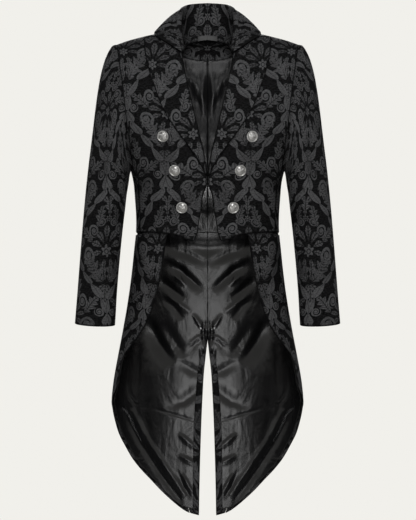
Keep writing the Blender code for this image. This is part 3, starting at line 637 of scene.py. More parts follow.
@dataclass
class Body:
    """The fronts, sides, backs and skirts: patches of the form cut at their seams."""

    form: BodyForm
    cloth: float = 0.0020
    corner_z: float = -0.300
    corner_x: float = 0.1712
    armpit_dip: float = 0.006
    neck_x: float = 0.070
    shoulder_tip_x: float = 0.208
    neck_back_z: float = -0.006
    waist_z: float = -0.450
    hem_corner_z: float = -0.460
    hem_end_x: float = 0.0927
    tip_outer_z: float = -1.0856
    tip_inner_z: float = -1.0994
    tip_seam_share: float = 0.6
    body_rows: int = 7 * FINENESS
    yoke_rows: int = 10 * FINENESS
    tail_rows: int = 14 * FINENESS
    columns: int = 4 * FINENESS
    armhole: Table = Table(
        "z x",
        (-0.0165, 0.2080), (-0.0506, 0.2036), (-0.0966, 0.1967), (-0.1426, 0.1910),
        (-0.1770, 0.1875), (-0.2300, 0.1806), (-0.2737, 0.1745), (-0.3000, 0.1712),
    )
    front_edge: Table = Table(
        "z x",
        (0.0140, 0.0700), (0.0023, 0.0690), (-0.0200, 0.0645), (-0.0437, 0.0610),
        (-0.0886, 0.0515), (-0.1495, 0.0362), (-0.2024, 0.0238), (-0.2300, 0.0170),
        (-0.2576, 0.0106), (-0.2920, 0.0045), (-0.3174, 0.0004), (-0.3350, 0.0004),
        (-0.3430, 0.0030), (-0.3610, 0.0100), (-0.3956, 0.0145), (-0.4269, 0.0200),
        (-0.4450, 0.0225), (-0.4580, 0.0262), (-0.4670, 0.0310),
    )
    front_hem: Table = Table(
        "x z",
        (0.0270, -0.4650), (0.0330, -0.4672), (0.0453, -0.4646), (0.0593, -0.4584),
        (0.0734, -0.4524), (0.0927, -0.4497), (0.1200, -0.4465), (0.1600, -0.4460),
    )
    side_seam: Table = Table(
        "z x", (-0.300, 0.1712), (-0.350, 0.1600), (-0.400, 0.1550), (-0.460, 0.1545))
    back_seam: Table = Table(
        "z x",
        (-0.300, 0.1712), (-0.330, 0.1450), (-0.360, 0.1120), (-0.390, 0.0850),
        (-0.420, 0.0690), (-0.446, 0.0620), (-0.550, 0.0630), (-0.700, 0.0700),
        (-0.830, 0.0780), (-0.950, 0.0740), (-1.030, 0.0620), (-1.100, 0.0400),
    )
    vent_edge: Table = Table(
        "z x",
        (-0.690, 0.0000), (-0.720, 0.0035), (-0.760, 0.0080), (-0.833, 0.0125),
        (-0.950, 0.0170), (-1.100, 0.0205),
    )
    tail_edge: Table = Table(
        "z x side",
        (-0.450, 0.0927, 1), (-0.511, 0.1024, 1), (-0.589, 0.1178, 1), (-0.669, 0.1484, 1),
        (-0.702, 0.1714, 1), (-0.731, 0.1930, 1), (-0.766, 0.2025, 1), (-0.798, 0.2075, 1),
        (-0.826, 0.2180, 1), (-0.849, 0.2196, -1), (-0.862, 0.2176, -1), (-0.880, 0.2136, -1),
        (-0.906, 0.2062, -1), (-0.937, 0.1912, -1), (-0.971, 0.1715, -1), (-0.994, 0.1530, -1),
        (-1.017, 0.1311, -1), (-1.040, 0.1096, -1), (-1.063, 0.0848, -1), (-1.0856, 0.0572, -1),
    )
    front_creases: tuple[Crease, ...] = (
        Crease(((0.004, -0.322), (0.050, -0.316), (0.105, -0.300)), -0.0016, 0.010, 0.012),
        Crease(((0.004, -0.330), (0.045, -0.345), (0.090, -0.352)), -0.0014, 0.009, 0.011),
        Crease(((0.158, -0.250), (0.135, -0.215), (0.120, -0.180)), -0.0022, 0.012, 0.014),
        Crease(((0.150, -0.405), (0.122, -0.398), (0.098, -0.404)), -0.0018, 0.009, 0.012),
        Crease(((0.158, -0.432), (0.130, -0.428), (0.108, -0.436)), 0.0016, 0.010, 0.010),
        Crease(((0.168, -0.480), (0.172, -0.560), (0.186, -0.650)), -0.0024, 0.013, 0.016),
        Crease(((0.140, -0.470), (0.143, -0.540), (0.152, -0.610)), 0.0020, 0.014, 0.012),
    )
    back_creases: tuple[Crease, ...] = (
        Crease(((0.010, -0.398), (0.045, -0.404), (0.082, -0.396)), -0.0020, 0.010, 0.012),
        Crease(((0.014, -0.432), (0.050, -0.440), (0.100, -0.432)), 0.0018, 0.011, 0.010),
        Crease(((0.160, -0.262), (0.128, -0.220), (0.105, -0.170)), -0.0026, 0.014, 0.016),
        Crease(((0.150, -0.410), (0.120, -0.400), (0.096, -0.408)), -0.0018, 0.010, 0.013),
        Crease(((0.098, -0.480), (0.112, -0.600), (0.128, -0.740)), -0.0034, 0.018, 0.024),
        Crease(((0.150, -0.500), (0.166, -0.620), (0.180, -0.760)), 0.0028, 0.020, 0.016),
        Crease(((0.060, -0.560), (0.058, -0.690), (0.060, -0.840)), 0.0010, 0.030, 0.030),
        Crease(((0.004, -0.686), (0.024, -0.700), (0.046, -0.722)), -0.0016, 0.007, 0.009),
    )
    patches: dict[str, Patch] = field(default_factory=dict)

    def neck_shares(self) -> Array:
        """Places of the columns under the back of the neck, closer towards the shoulder."""
        return np.sin(even(self.columns) * math.pi / 2)

    def front_shares(self) -> Array:
        """Places of the front's columns, with one where its free hem gives way to the skirt.

        Returns:
            Shares of the way from the front edge to the side seam.
        """
        form = self.form
        edge_x = self.front_edge.read("x", self.hem_corner_z)
        edge = math.pi - form.turn_of(edge_x, self.hem_corner_z)
        hem = math.pi - form.turn_of(self.hem_end_x, self.waist_z)
        seam = math.pi - form.turn_of(self.side_seam.read("x", self.waist_z), self.waist_z)
        at_hem = float((hem - edge) / (seam - edge))
        beyond = spread(at_hem, 1.0, even(self.columns)[1:])
        return np.concatenate([even(self.columns) * at_hem, beyond])

    def back_shares(self) -> Array:
        """Places of the back's columns from the centre, with one below the neck point.

        Returns:
            Shares of the way from the centre to the seam.
        """
        form = self.form
        corner = form.turn_of(self.corner_x, self.corner_z)
        split = form.turn_of(self.neck_x, self.corner_z) / corner
        beyond = spread(split, 1.0, even(self.columns)[1:])
        return np.concatenate([self.neck_shares() * split, beyond])

    def settle(self, turns_at: Callable[[Array], Array], height_at: Callable[[Array], Array],
               z: Array) -> Array:
        """Heights of an edge whose height depends on x, found by going round a few times.

        Args:
            turns_at: Turns of the columns at given heights.
            height_at: The edge's height at a place across.
            z: Heights to start from.

        Returns:
            The heights, one for each column.
        """
        for _ in range(SETTLE_ROUNDS):
            z = height_at(self.form.point(turns_at(z), z)[..., 0])
        return z

    def front_turns(self, z: Array) -> Array:
        """Turns of the front's columns below the armhole.

        Args:
            z: Height at each column.

        Returns:
            The turns, one for each column.
        """
        edge = math.pi - self.form.turn_of(self.front_edge.read("x", z), z)
        seam = math.pi - self.form.turn_of(self.side_seam.read("x", z), z)
        return spread(edge, seam, self.front_shares())

    def side_turns(self, z: Array) -> Array:
        """Turns of the side panel's columns.

        Args:
            z: Height at each column.

        Returns:
            The turns, one for each column.
        """
        start = math.pi - self.form.turn_of(self.side_seam.read("x", z), z)
        end = self.form.turn_of(self.back_seam.read("x", z), z)
        return spread(start, end, even(self.columns))

    def back_turns(self, z: Array) -> Array:
        """Turns of the back's columns, from its outer seam in to the centre or the vent.

        Args:
            z: Height at each column.

        Returns:
            The turns, one for each column.
        """
        centre = self.form.turn_of(self.vent_edge.read("x", z), z)
        seam = self.form.turn_of(self.back_seam.read("x", z), z)
        return spread(centre, seam, self.back_shares())[::-1]

    def skirt_turns(self, z: Array) -> Array:
        """Turns of the skirt's columns, from the tail's swept edge back to the back seam.

        Args:
            z: Height at each column.

        Returns:
            The turns, one for each column.
        """
        edge = self.tail_edge
        turns = self.form.turn_of(edge.values["x"], edge.key)
        turns = np.where(edge.values["side"] > 0, math.pi - turns, turns)
        swept = Table("z turn", *zip(edge.key, turns)).read("turn", z)
        return spread(swept, self.form.turn_of(self.back_seam.read("x", z), z),
                      even(2 * self.columns))

    def level_rows(self, turns_at: Callable[[Array], Array], top: Array, bottom: Array,
                   count: int) -> Array:
        """Points of rows from a top edge down to a bottom edge.

        Args:
            turns_at: Turns of the columns at given heights.
            top: Heights of the top edge.
            bottom: Heights of the bottom edge.
            count: Steps between them.

        Returns:
            The points, rows down.
        """
        levels = [spread(top, bottom, share) for share in even(count)]
        return np.array([self.form.point(turns_at(z), z) for z in levels])

    def yoke(self, inner_x: Callable, outer_x: Callable, outer_top_x: float, shares: Array,
             ahead: bool, top_line: Callable) -> Array:
        """Points from the top edge down to the armhole's corner, between two upright edges.

        Args:
            inner_x: Place of the inner edge at a height.
            outer_x: Place of the outer edge at a height.
            outer_top_x: Place of the outer edge's top on the shoulder.
            shares: Places of the columns.
            ahead: Whether it is the front.
            top_line: Height of the top edge at a place.

        Returns:
            The points, rows down.
        """
        inner_top = self.form.shoulder_line.read("z", self.neck_x)
        outer_top = self.form.shoulder_line.read("z", outer_top_x)

        def turns(share: float) -> Array:
            """Turns of the columns at a share of the way up.

            Args:
                share: Share of the way from the armhole's corner to the top edge.

            Returns:
                The turns, one for each column.
            """
            inner_z = spread(self.corner_z, inner_top, share)
            outer_z = spread(self.corner_z, outer_top, share)
            inner = self.form.turn_of(inner_x(inner_z), inner_z)
            outer = self.form.turn_of(outer_x(outer_z), outer_z)
            if ahead:
                inner, outer = math.pi - inner, math.pi - outer
            return spread(inner, outer, shares)

        top = self.settle(lambda z: turns(1.0), top_line, np.full(len(shares), outer_top))
        rows = []
        for step in even(self.yoke_rows)[::-1]:
            share = 1 - (1 - step) ** 2
            rows.append(self.form.point(turns(share), spread(self.corner_z, top, share)))
        return np.array(rows)

    def neck_line(self, x: Array) -> Array:
        """Height of the back's neck edge."""
        rise = self.form.shoulder_line.read("z", self.neck_x) - self.neck_back_z
        return self.neck_back_z + rise * np.minimum(x / self.neck_x, 1.0) ** 2

    def outlines(self) -> dict[str, Array]:
        """Points of each panel, rows down and columns from front to back.

        Returns:
            The points by the panel's name.
        """
        shoulder = self.form.shoulder_line
        corner = np.full(2 * self.columns + 1, self.corner_z)
        front = self.yoke(lambda z: self.front_edge.read("x", z),
                          lambda z: self.armhole.read("x", z), self.shoulder_tip_x,
                          self.front_shares(), True, lambda x: shoulder.read("z", x))
        hem = self.settle(self.front_turns, lambda x: self.front_hem.read("z", x),
                          np.full_like(corner, self.waist_z))
        lower = self.level_rows(self.front_turns, corner, hem, self.body_rows)
        front = np.concatenate([front, lower[1:]])
        arch = self.corner_z - self.armpit_dip * np.sin(math.pi * even(self.columns))
        side = self.level_rows(self.side_turns, arch, np.full(self.columns + 1, hem[-1]),
                               self.body_rows)
        outer = self.yoke(lambda z: self.neck_x, lambda z: self.armhole.read("x", z),
                          self.shoulder_tip_x, even(self.columns), False,
                          lambda x: shoulder.read("z", x))
        inner = self.yoke(lambda z: 0.0, lambda z: self.neck_x, self.neck_x,
                          self.neck_shares(), False, self.neck_line)
        yoke = np.concatenate([outer[:, ::-1], inner[:, ::-1][:, 1:]], axis=1)
        waist = np.full_like(corner, hem[-1])
        split = spread(self.tip_outer_z, self.tip_inner_z, self.tip_seam_share)
        skirt_top = np.concatenate([hem[self.columns:], np.full(self.columns, hem[-1])])
        skirt_hem = spread(self.tip_outer_z, split, even(2 * self.columns))
        back_hem = spread(split, self.tip_inner_z, 1 - self.back_shares()[::-1])
        skirt = self.level_rows(self.skirt_turns, skirt_top, skirt_hem, self.tail_rows)
        back = np.concatenate([
            yoke, self.level_rows(self.back_turns, corner, waist, self.body_rows)[1:],
            self.level_rows(self.back_turns, waist, back_hem, self.tail_rows)[1:]])
        skirt[0, :self.columns + 1] = front[-1, self.columns:]
        skirt[0, self.columns:] = side[-1]
        return {"front": front, "side": side, "back": back, "skirt": skirt}

    def lay_of(self, name: str, points: Array) -> Array:
        """Places of a panel on the flat cloth, square to the level line at the armhole.

        Args:
            name: The panel's name.
            points: Its points.

        Returns:
            The places, across and up.
        """
        level = {"front": self.yoke_rows, "back": self.yoke_rows, "side": 0, "skirt": 0}[name]
        down = run_along(points, 0)
        up = points[level, :, 2] + down[level] - down
        across = run_along(points, 1)
        if name == "back":
            across = across[:, -1:] - across + points[:, -1:, 0]
        elif name == "skirt":
            across = across - across[:, -1:] + across[0, -1] + points[0, 0, 0]
        else:
            across = across + points[:, :1, 0]
        return np.stack([across, up], axis=-1)

    def prepare(self, sleeve: Array) -> Array:
        """Work out the panels and their creases.

        Args:
            sleeve: Points of the sleeve that joins them at the armhole.

        Returns:
            Normals of the sleeve.
        """
        outlines = self.outlines()
        *normals, sleeve_normals = shared_normals([*outlines.values(), sleeve])
        for (name, points), normal in zip(outlines.items(), normals):
            patch = Patch(points, normal, self.lay_of(name, points))
            patch = creased(patch, self.front_creases, -1.0, sleeve[0, ::HELD_STEP])
            self.patches[name] = creased(patch, self.back_creases, 1.0, sleeve[0, ::HELD_STEP])
        return sleeve_normals

    def build(self, outside: bpy.types.Material, inside: bpy.types.Material) -> None:
        """Make the panels.

        Args:
            outside: Figured cloth.
            inside: Lining of what has no piece of its own behind it.
        """
        seams = {"front": ("back",), "side": ("back",), "back": (), "skirt": ("front", "side")}
        for name, patch in self.patches.items():
            inner = inside if name in ("front", "side") else outside
            make_pair(name, patch, self.cloth, (outside, inner), Hold.HUNG, seams[name])


@dataclass
class Sleeves:
    """Two-piece sleeves, rings of cloth from the armhole down to the cuff."""

    cloth: float = 0.0020
    rings: int = 14
    under_first: int = 8 * FINENESS
    under_last: int = 16 * FINENESS
    shape: Table = Table(
        "ring outer_x outer_z inner_x inner_z front back centre_y drop",
        (1, 0.2200, -0.0195, 0.1768, -0.3075, 0.0720, 0.0740, 0.000, 0.000),
        (2, 0.2365, -0.0510, 0.1780, -0.3110, 0.0725, 0.0740, 0.000, 0.000),
        (3, 0.2480, -0.0966, 0.1792, -0.3165, 0.0715, 0.0730, 0.000, 0.000),
        (4, 0.2570, -0.1550, 0.1803, -0.3250, 0.0700, 0.0710, 0.000, 0.000),
        (5, 0.2650, -0.2220, 0.1820, -0.3380, 0.0680, 0.0690, 0.000, 0.000),
        (6, 0.2735, -0.2900, 0.1855, -0.3580, 0.0655, 0.0665, 0.000, 0.000),
        (7, 0.2815, -0.3650, 0.1900, -0.3980, 0.0620, 0.0640, -0.001, 0.000),
        (8, 0.2885, -0.4450, 0.1965, -0.4540, 0.0585, 0.0610, -0.004, 0.000),
        (9, 0.2940, -0.5150, 0.2025, -0.5170, 0.0545, 0.0570, -0.010, 0.000),
        (10, 0.2985, -0.5750, 0.2075, -0.5750, 0.0510, 0.0520, -0.018, 0.001),
        (11, 0.3025, -0.6250, 0.2102, -0.6230, 0.0470, 0.0480, -0.025, 0.003),
        (12, 0.3050, -0.6560, 0.2125, -0.6600, 0.0445, 0.0455, -0.029, 0.005),
    )
    front_creases: tuple[Crease, ...] = (
        Crease(((0.196, -0.352), (0.222, -0.362), (0.250, -0.350)), -0.0028, 0.009, 0.014),
        Crease(((0.200, -0.392), (0.228, -0.398), (0.256, -0.384)), 0.0024, 0.012, 0.010),
        Crease(((0.202, -0.425), (0.230, -0.436), (0.262, -0.428)), -0.0026, 0.010, 0.014),
        Crease(((0.190, -0.250), (0.206, -0.200), (0.214, -0.140)), -0.0028, 0.012, 0.016),
        Crease(((0.210, -0.300), (0.232, -0.250), (0.244, -0.190)), 0.0018, 0.016, 0.014),
        Crease(((0.212, -0.520), (0.240, -0.530), (0.272, -0.515)), -0.0016, 0.012, 0.014),
    )
    back_creases: tuple[Crease, ...] = (
        Crease(((0.194, -0.340), (0.224, -0.352), (0.258, -0.344)), -0.0030, 0.010, 0.015),
        Crease(((0.200, -0.380), (0.232, -0.388), (0.266, -0.376)), 0.0026, 0.012, 0.011),
        Crease(((0.190, -0.246), (0.204, -0.190), (0.212, -0.120)), -0.0030, 0.013, 0.018),
        Crease(((0.204, -0.440), (0.234, -0.448), (0.270, -0.438)), -0.0018, 0.012, 0.014),
    )

    def outline(self, body: dict[str, Array], yoke_rows: int) -> Array:
        """Points of the whole sleeve, rings down from the armhole, from its top round the back.

        Args:
            body: Points of the body's panels.
            yoke_rows: Rows of the panels above the armhole's corner.

        Returns:
            The points.
        """
        loop = np.concatenate([body["back"][:yoke_rows + 1, 0], body["side"][0, ::-1][1:-1],
                               body["front"][:yoke_rows + 1, -1][::-1]])
        middle = (loop[:, 2].max() + loop[:, 2].min()) / 2
        reach = (loop[:, 2].max() - loop[:, 2].min()) / 2
        reach_y = np.where(loop[:, 1] > 0, loop[:, 1].max(), -loop[:, 1].min())
        angle = np.unwrap(np.arctan2(loop[:, 1] / reach_y, (loop[:, 2] - middle) / reach))
        angle = spread(0.0, 2 * math.pi, (angle - angle[0]) / (angle[-1] - angle[0]))
        along, across = np.cos(angle), np.sin(angle)
        rings = [loop]
        for ring in np.linspace(1, 12, self.rings):
            row = {name: self.shape.read(name, ring) for name in self.shape.values}
            x, z = ((row["outer" + axis] + row["inner" + axis]) / 2
                    + (row["outer" + axis] - row["inner" + axis]) / 2 * along
                    for axis in ("_x", "_z"))
            y = row["centre_y"] + np.where(across > 0, row["back"], row["front"]) * across
            z = z - row["drop"] * np.maximum(-across, 0.0)
            rings.append(np.stack([x, y, z], axis=-1))
        return refined(np.array(rings), FINENESS)

    def build(self, points: Array, normals: Array, outside: bpy.types.Material,
              inside: bpy.types.Material) -> None:
        """Make the sleeves.

        Args:
            points: Points of the left one.
            normals: Its normals.
            outside: Figured cloth.
            inside: Lining.
        """
        around = run_along(points, 1)
        down = run_along(points, 0)
        level = len(points) // 2
        up = points[level, :, 2] + down[level] - down
        whole = creased(Patch(points, normals, np.stack([around, up], axis=-1)),
                        self.front_creases, -1.0, points[0, ::HELD_STEP])
        whole = creased(whole, self.back_creases, 1.0, points[0, ::HELD_STEP])
        every = slice(None)
        under = whole.part(every, slice(self.under_first, self.under_last + 1))
        under = Patch(under.points, under.normals, under.lay - around[:, -1:, None] * (1, 0))
        whole.lay[:, self.under_last:, 0] -= around[:, -1:]
        top = [*range(self.under_last, points.shape[1]), *range(1, self.under_first + 1)]
        for name, patch in (("top_sleeve", whole.part(every, top)), ("under_sleeve", under)):
            make_pair(name, patch, self.cloth, (outside, inside), Hold.HUNG,
                      ("front", "back", "side"), True)


@dataclass
class Lapels:
    """Peaked lapels, folded back on the fronts and a little proud at the roll."""

    form: BodyForm
    body: Body
    cloth: float = 0.0030
    lift: float = 0.0008
    roll: float = 0.0035
    top_z: float = -0.0400
    foot_z: float = -0.3150
    notch: tuple[float, float] = (0.1035, -0.0120)
    notch_reach: float = 0.25
    figure_shift: tuple[float, float] = (0.062, 0.048)
    proud: float = 0.0032
    rows: int = 14 * FINENESS
    crowding: float = 1.3
    columns: int = 6 * FINENESS
    roll_line: Table = Table(
        "z x",
        (-0.0400, 0.0585), (-0.0886, 0.0495), (-0.1495, 0.0352), (-0.2024, 0.0230),
        (-0.2300, 0.0162), (-0.2576, 0.0098), (-0.2920, 0.0040), (-0.3150, 0.0010),
    )
    edge: Table = Table(
        "share x z",
        (0.00, 0.1450, -0.0040), (0.12, 0.1425, -0.0370), (0.26, 0.1322, -0.0805),
        (0.40, 0.1185, -0.1200), (0.54, 0.1000, -0.1656), (0.68, 0.0665, -0.2174),
        (0.80, 0.0420, -0.2500), (0.90, 0.0180, -0.2852), (1.00, 0.0035, -0.3150),
    )

    def base(self) -> Patch:
        """The lapel's place on the front, from its roll line out to its peaked edge.

        Returns:
            The patch, lying on the front.
        """
        rows = even(self.rows) ** self.crowding
        columns = even(self.columns)
        roll_z = spread(self.top_z, self.foot_z, rows)
        roll_x = self.roll_line.read("x", roll_z)
        edge_x, edge_z = self.edge.read("x", rows), self.edge.read("z", rows)
        x = roll_x[:, None] + (edge_x - roll_x)[:, None] * columns
        z = roll_z[:, None] + (edge_z - roll_z)[:, None] * columns
        notch_share = (self.notch[0] - roll_x[0]) / (edge_x[0] - roll_x[0])
        straight_z = spread(roll_z[0], edge_z[0], notch_share)
        tent = np.minimum(columns / notch_share, (1 - columns) / (1 - notch_share))
        fade = np.maximum(1 - rows / self.notch_reach, 0.0)
        z = z + fade[:, None] * (self.notch[1] - straight_z) * tent
        points = self.form.ahead(x, z)
        across = run_along(points, 1) + points[:, :1, 0]
        lay = np.stack([across + self.figure_shift[0], points[..., 2] + self.figure_shift[1]],
                       axis=-1)
        base = Patch(points, shared_normals([points])[0], lay)
        return creased(base, self.body.front_creases, -1.0)

    def build(self, outside: bpy.types.Material) -> None:
        """Make the lapels in figured cloth.

        Args:
            outside: Figured cloth.
        """
        share = even(self.columns)
        lift = self.lift + self.cloth + self.roll * (1 - share) ** 2 + self.proud * share ** 4
        # A wider painted shade along its edges stands in for the lapel's shadow on the front
        make_pair("lapel", self.base().raised(lift), self.cloth, (outside,), Hold.LAID,
                  ("front",), edge_shade_width=0.0045)


@dataclass
class Collar:
    """The tall stand, its turned-down fall and the plain label inside."""

    form: BodyForm
    cloth: float = 0.0030
    lift: float = 0.0014
    roll: float = 0.0045
    stand_bulge: float = 0.03
    fall_bulge: float = 0.11
    swell_out: float = 0.6
    swell_up: float = 0.8
    columns: int = 10 * FINENESS
    stand_steps: int = 16
    roll_steps: int = 10
    fall_steps: int = 26
    label_width: float = 0.046
    label_height: float = 0.0105
    label_cloth: float = 0.0006
    label_inset: float = 0.0012
    label_lift: float = 0.0003
    shape: Table = Table(
        "place neck_x neck_y neck_z roll_x roll_y roll_z edge_x edge_y edge_z",
        (0.0, 0.0000, 0.0682, -0.0050, 0.0000, 0.0750, 0.0800, 0.0000, 0.1030, -0.0180),
        (0.2, 0.0230, 0.0630, -0.0083, 0.0260, 0.0700, 0.0785, 0.0500, 0.0960, -0.0100),
        (0.4, 0.0435, 0.0480, -0.0160, 0.0470, 0.0530, 0.0750, 0.0900, 0.0700, 0.0050),
        (0.6, 0.0550, 0.0180, -0.0280, 0.0610, 0.0170, 0.0640, 0.1150, 0.0240, 0.0140),
        (0.8, 0.0580, -0.0250, -0.0350, 0.0655, -0.0200, 0.0320, 0.1215, -0.0120, 0.0130),
        (0.9, 0.0575, -0.0520, -0.0370, 0.0628, -0.0460, 0.0023, 0.1225, -0.0180, 0.0100),
        (1.0, 0.0565, -0.0800, -0.0375, 0.0570, -0.0820, -0.0330, 0.1220, -0.0220, 0.0060),
    )

    def section(self, place: float) -> Array:
        """Middle line of the cloth, up the stand, over the roll and down the fall.

        Args:
            place: Share of the way from the centre back to the front end.

        Returns:
            The points of the line.
        """
        read = {name: self.shape.read(name, place) for name in self.shape.values}
        neck, roll, edge = (np.array([read[part + axis] for axis in ("_x", "_y", "_z")])
                            for part in ("neck", "roll", "edge"))
        out = unit((edge - neck) * (1, 1, 0))
        height = np.linalg.norm(roll - neck)
        radius = min(self.roll, 0.35 * height)
        centre = roll - (0.0, 0.0, radius)
        inner, outer = centre - out * radius, centre + out * radius
        swell = self.fall_bulge * np.linalg.norm(edge - outer) * (1 - place ** 4)
        swell = swell * (out * self.swell_out + (0.0, 0.0, self.swell_up))
        bulge = out * self.stand_bulge * height
        stand = [spread(neck, inner, s) + bulge * 4 * s * (1 - s) for s in even(self.stand_steps)]
        turns = even(self.roll_steps)[1:-1] * math.pi
        over = [centre - out * radius * math.cos(a) + (0.0, 0.0, radius * math.sin(a))
                for a in turns]
        fall = [spread(outer, edge, s) + swell * 4 * s * (1 - s) for s in even(self.fall_steps)]
        return np.array(stand + over + fall)

    def clear_of_body(self, points: Array, distance: float) -> Array:
        """Points moved out where they would lie nearer to the body than a distance.

        Args:
            points: Points of the fall.
            distance: The least distance.

        Returns:
            The moved points.
        """
        x, y, z = np.moveaxis(points, -1, 0)
        turn = self.form.turn_of(x, z - distance)
        turn = np.where(y > 0, turn, math.pi - turn)
        limit = np.abs(self.form.point(turn, z - distance)[..., 1]) + distance
        above = z - distance > self.form.shoulder_line.read("z", x)
        nearest = np.where(above, 0.0, limit)
        return np.stack([x, np.sign(y) * np.maximum(np.abs(y), nearest), z], axis=-1)

    def patch(self) -> Patch:
        """Outer face of the whole collar, rows from the neck seam to the fall's edge.

        Returns:
            The patch.
        """
        half = np.array([self.section(place) for place in even(self.columns)])
        first = self.stand_steps + self.roll_steps
        half[:, first:] = self.clear_of_body(half[:, first:], self.lift + self.cloth / 2)
        half = np.swapaxes(half, 0, 1)
        middle = np.concatenate([(half * (-1, 1, 1))[:, ::-1], half[:, 1:]], axis=1)[:, ::-1]
        across = run_along(middle, 1)
        across = np.abs(across - across[:, self.columns:self.columns + 1])
        lay = np.stack([across, run_along(middle, 0)], axis=-1)
        normals = shared_normals([middle])[0]
        return Patch(middle, normals, lay).raised(self.cloth / 2)

    def build(self, outside: bpy.types.Material, tape: bpy.types.Material) -> None:
        """Make the collar and its label.

        Args:
            outside: Figured cloth.
            tape: Woven tape of the label.
        """
        patch = self.patch()
        piece = Piece("collar", "patterned_cloth", Hold.DRAPED, ("back_left", "back_right"))
        piece.make(Wall(patch, self.cloth), (outside,))
        stand = patch.part(slice(0, self.stand_steps + 1), slice(None))
        width = run_along(stand.points, 1)[:, -1]
        sides = (width - self.label_width) / 2
        label = stand.trimmed(1, sides, sides)
        height = run_along(label.points, 0)[-1]
        label = label.trimmed(0, self.label_inset,
                              height - self.label_inset - self.label_height)
        label = label.raised(self.label_lift + self.label_cloth)
        piece = Piece("label", "label_cloth", Hold.LAID, ("collar",))
        piece.make(Wall(label, self.label_cloth), (tape,))


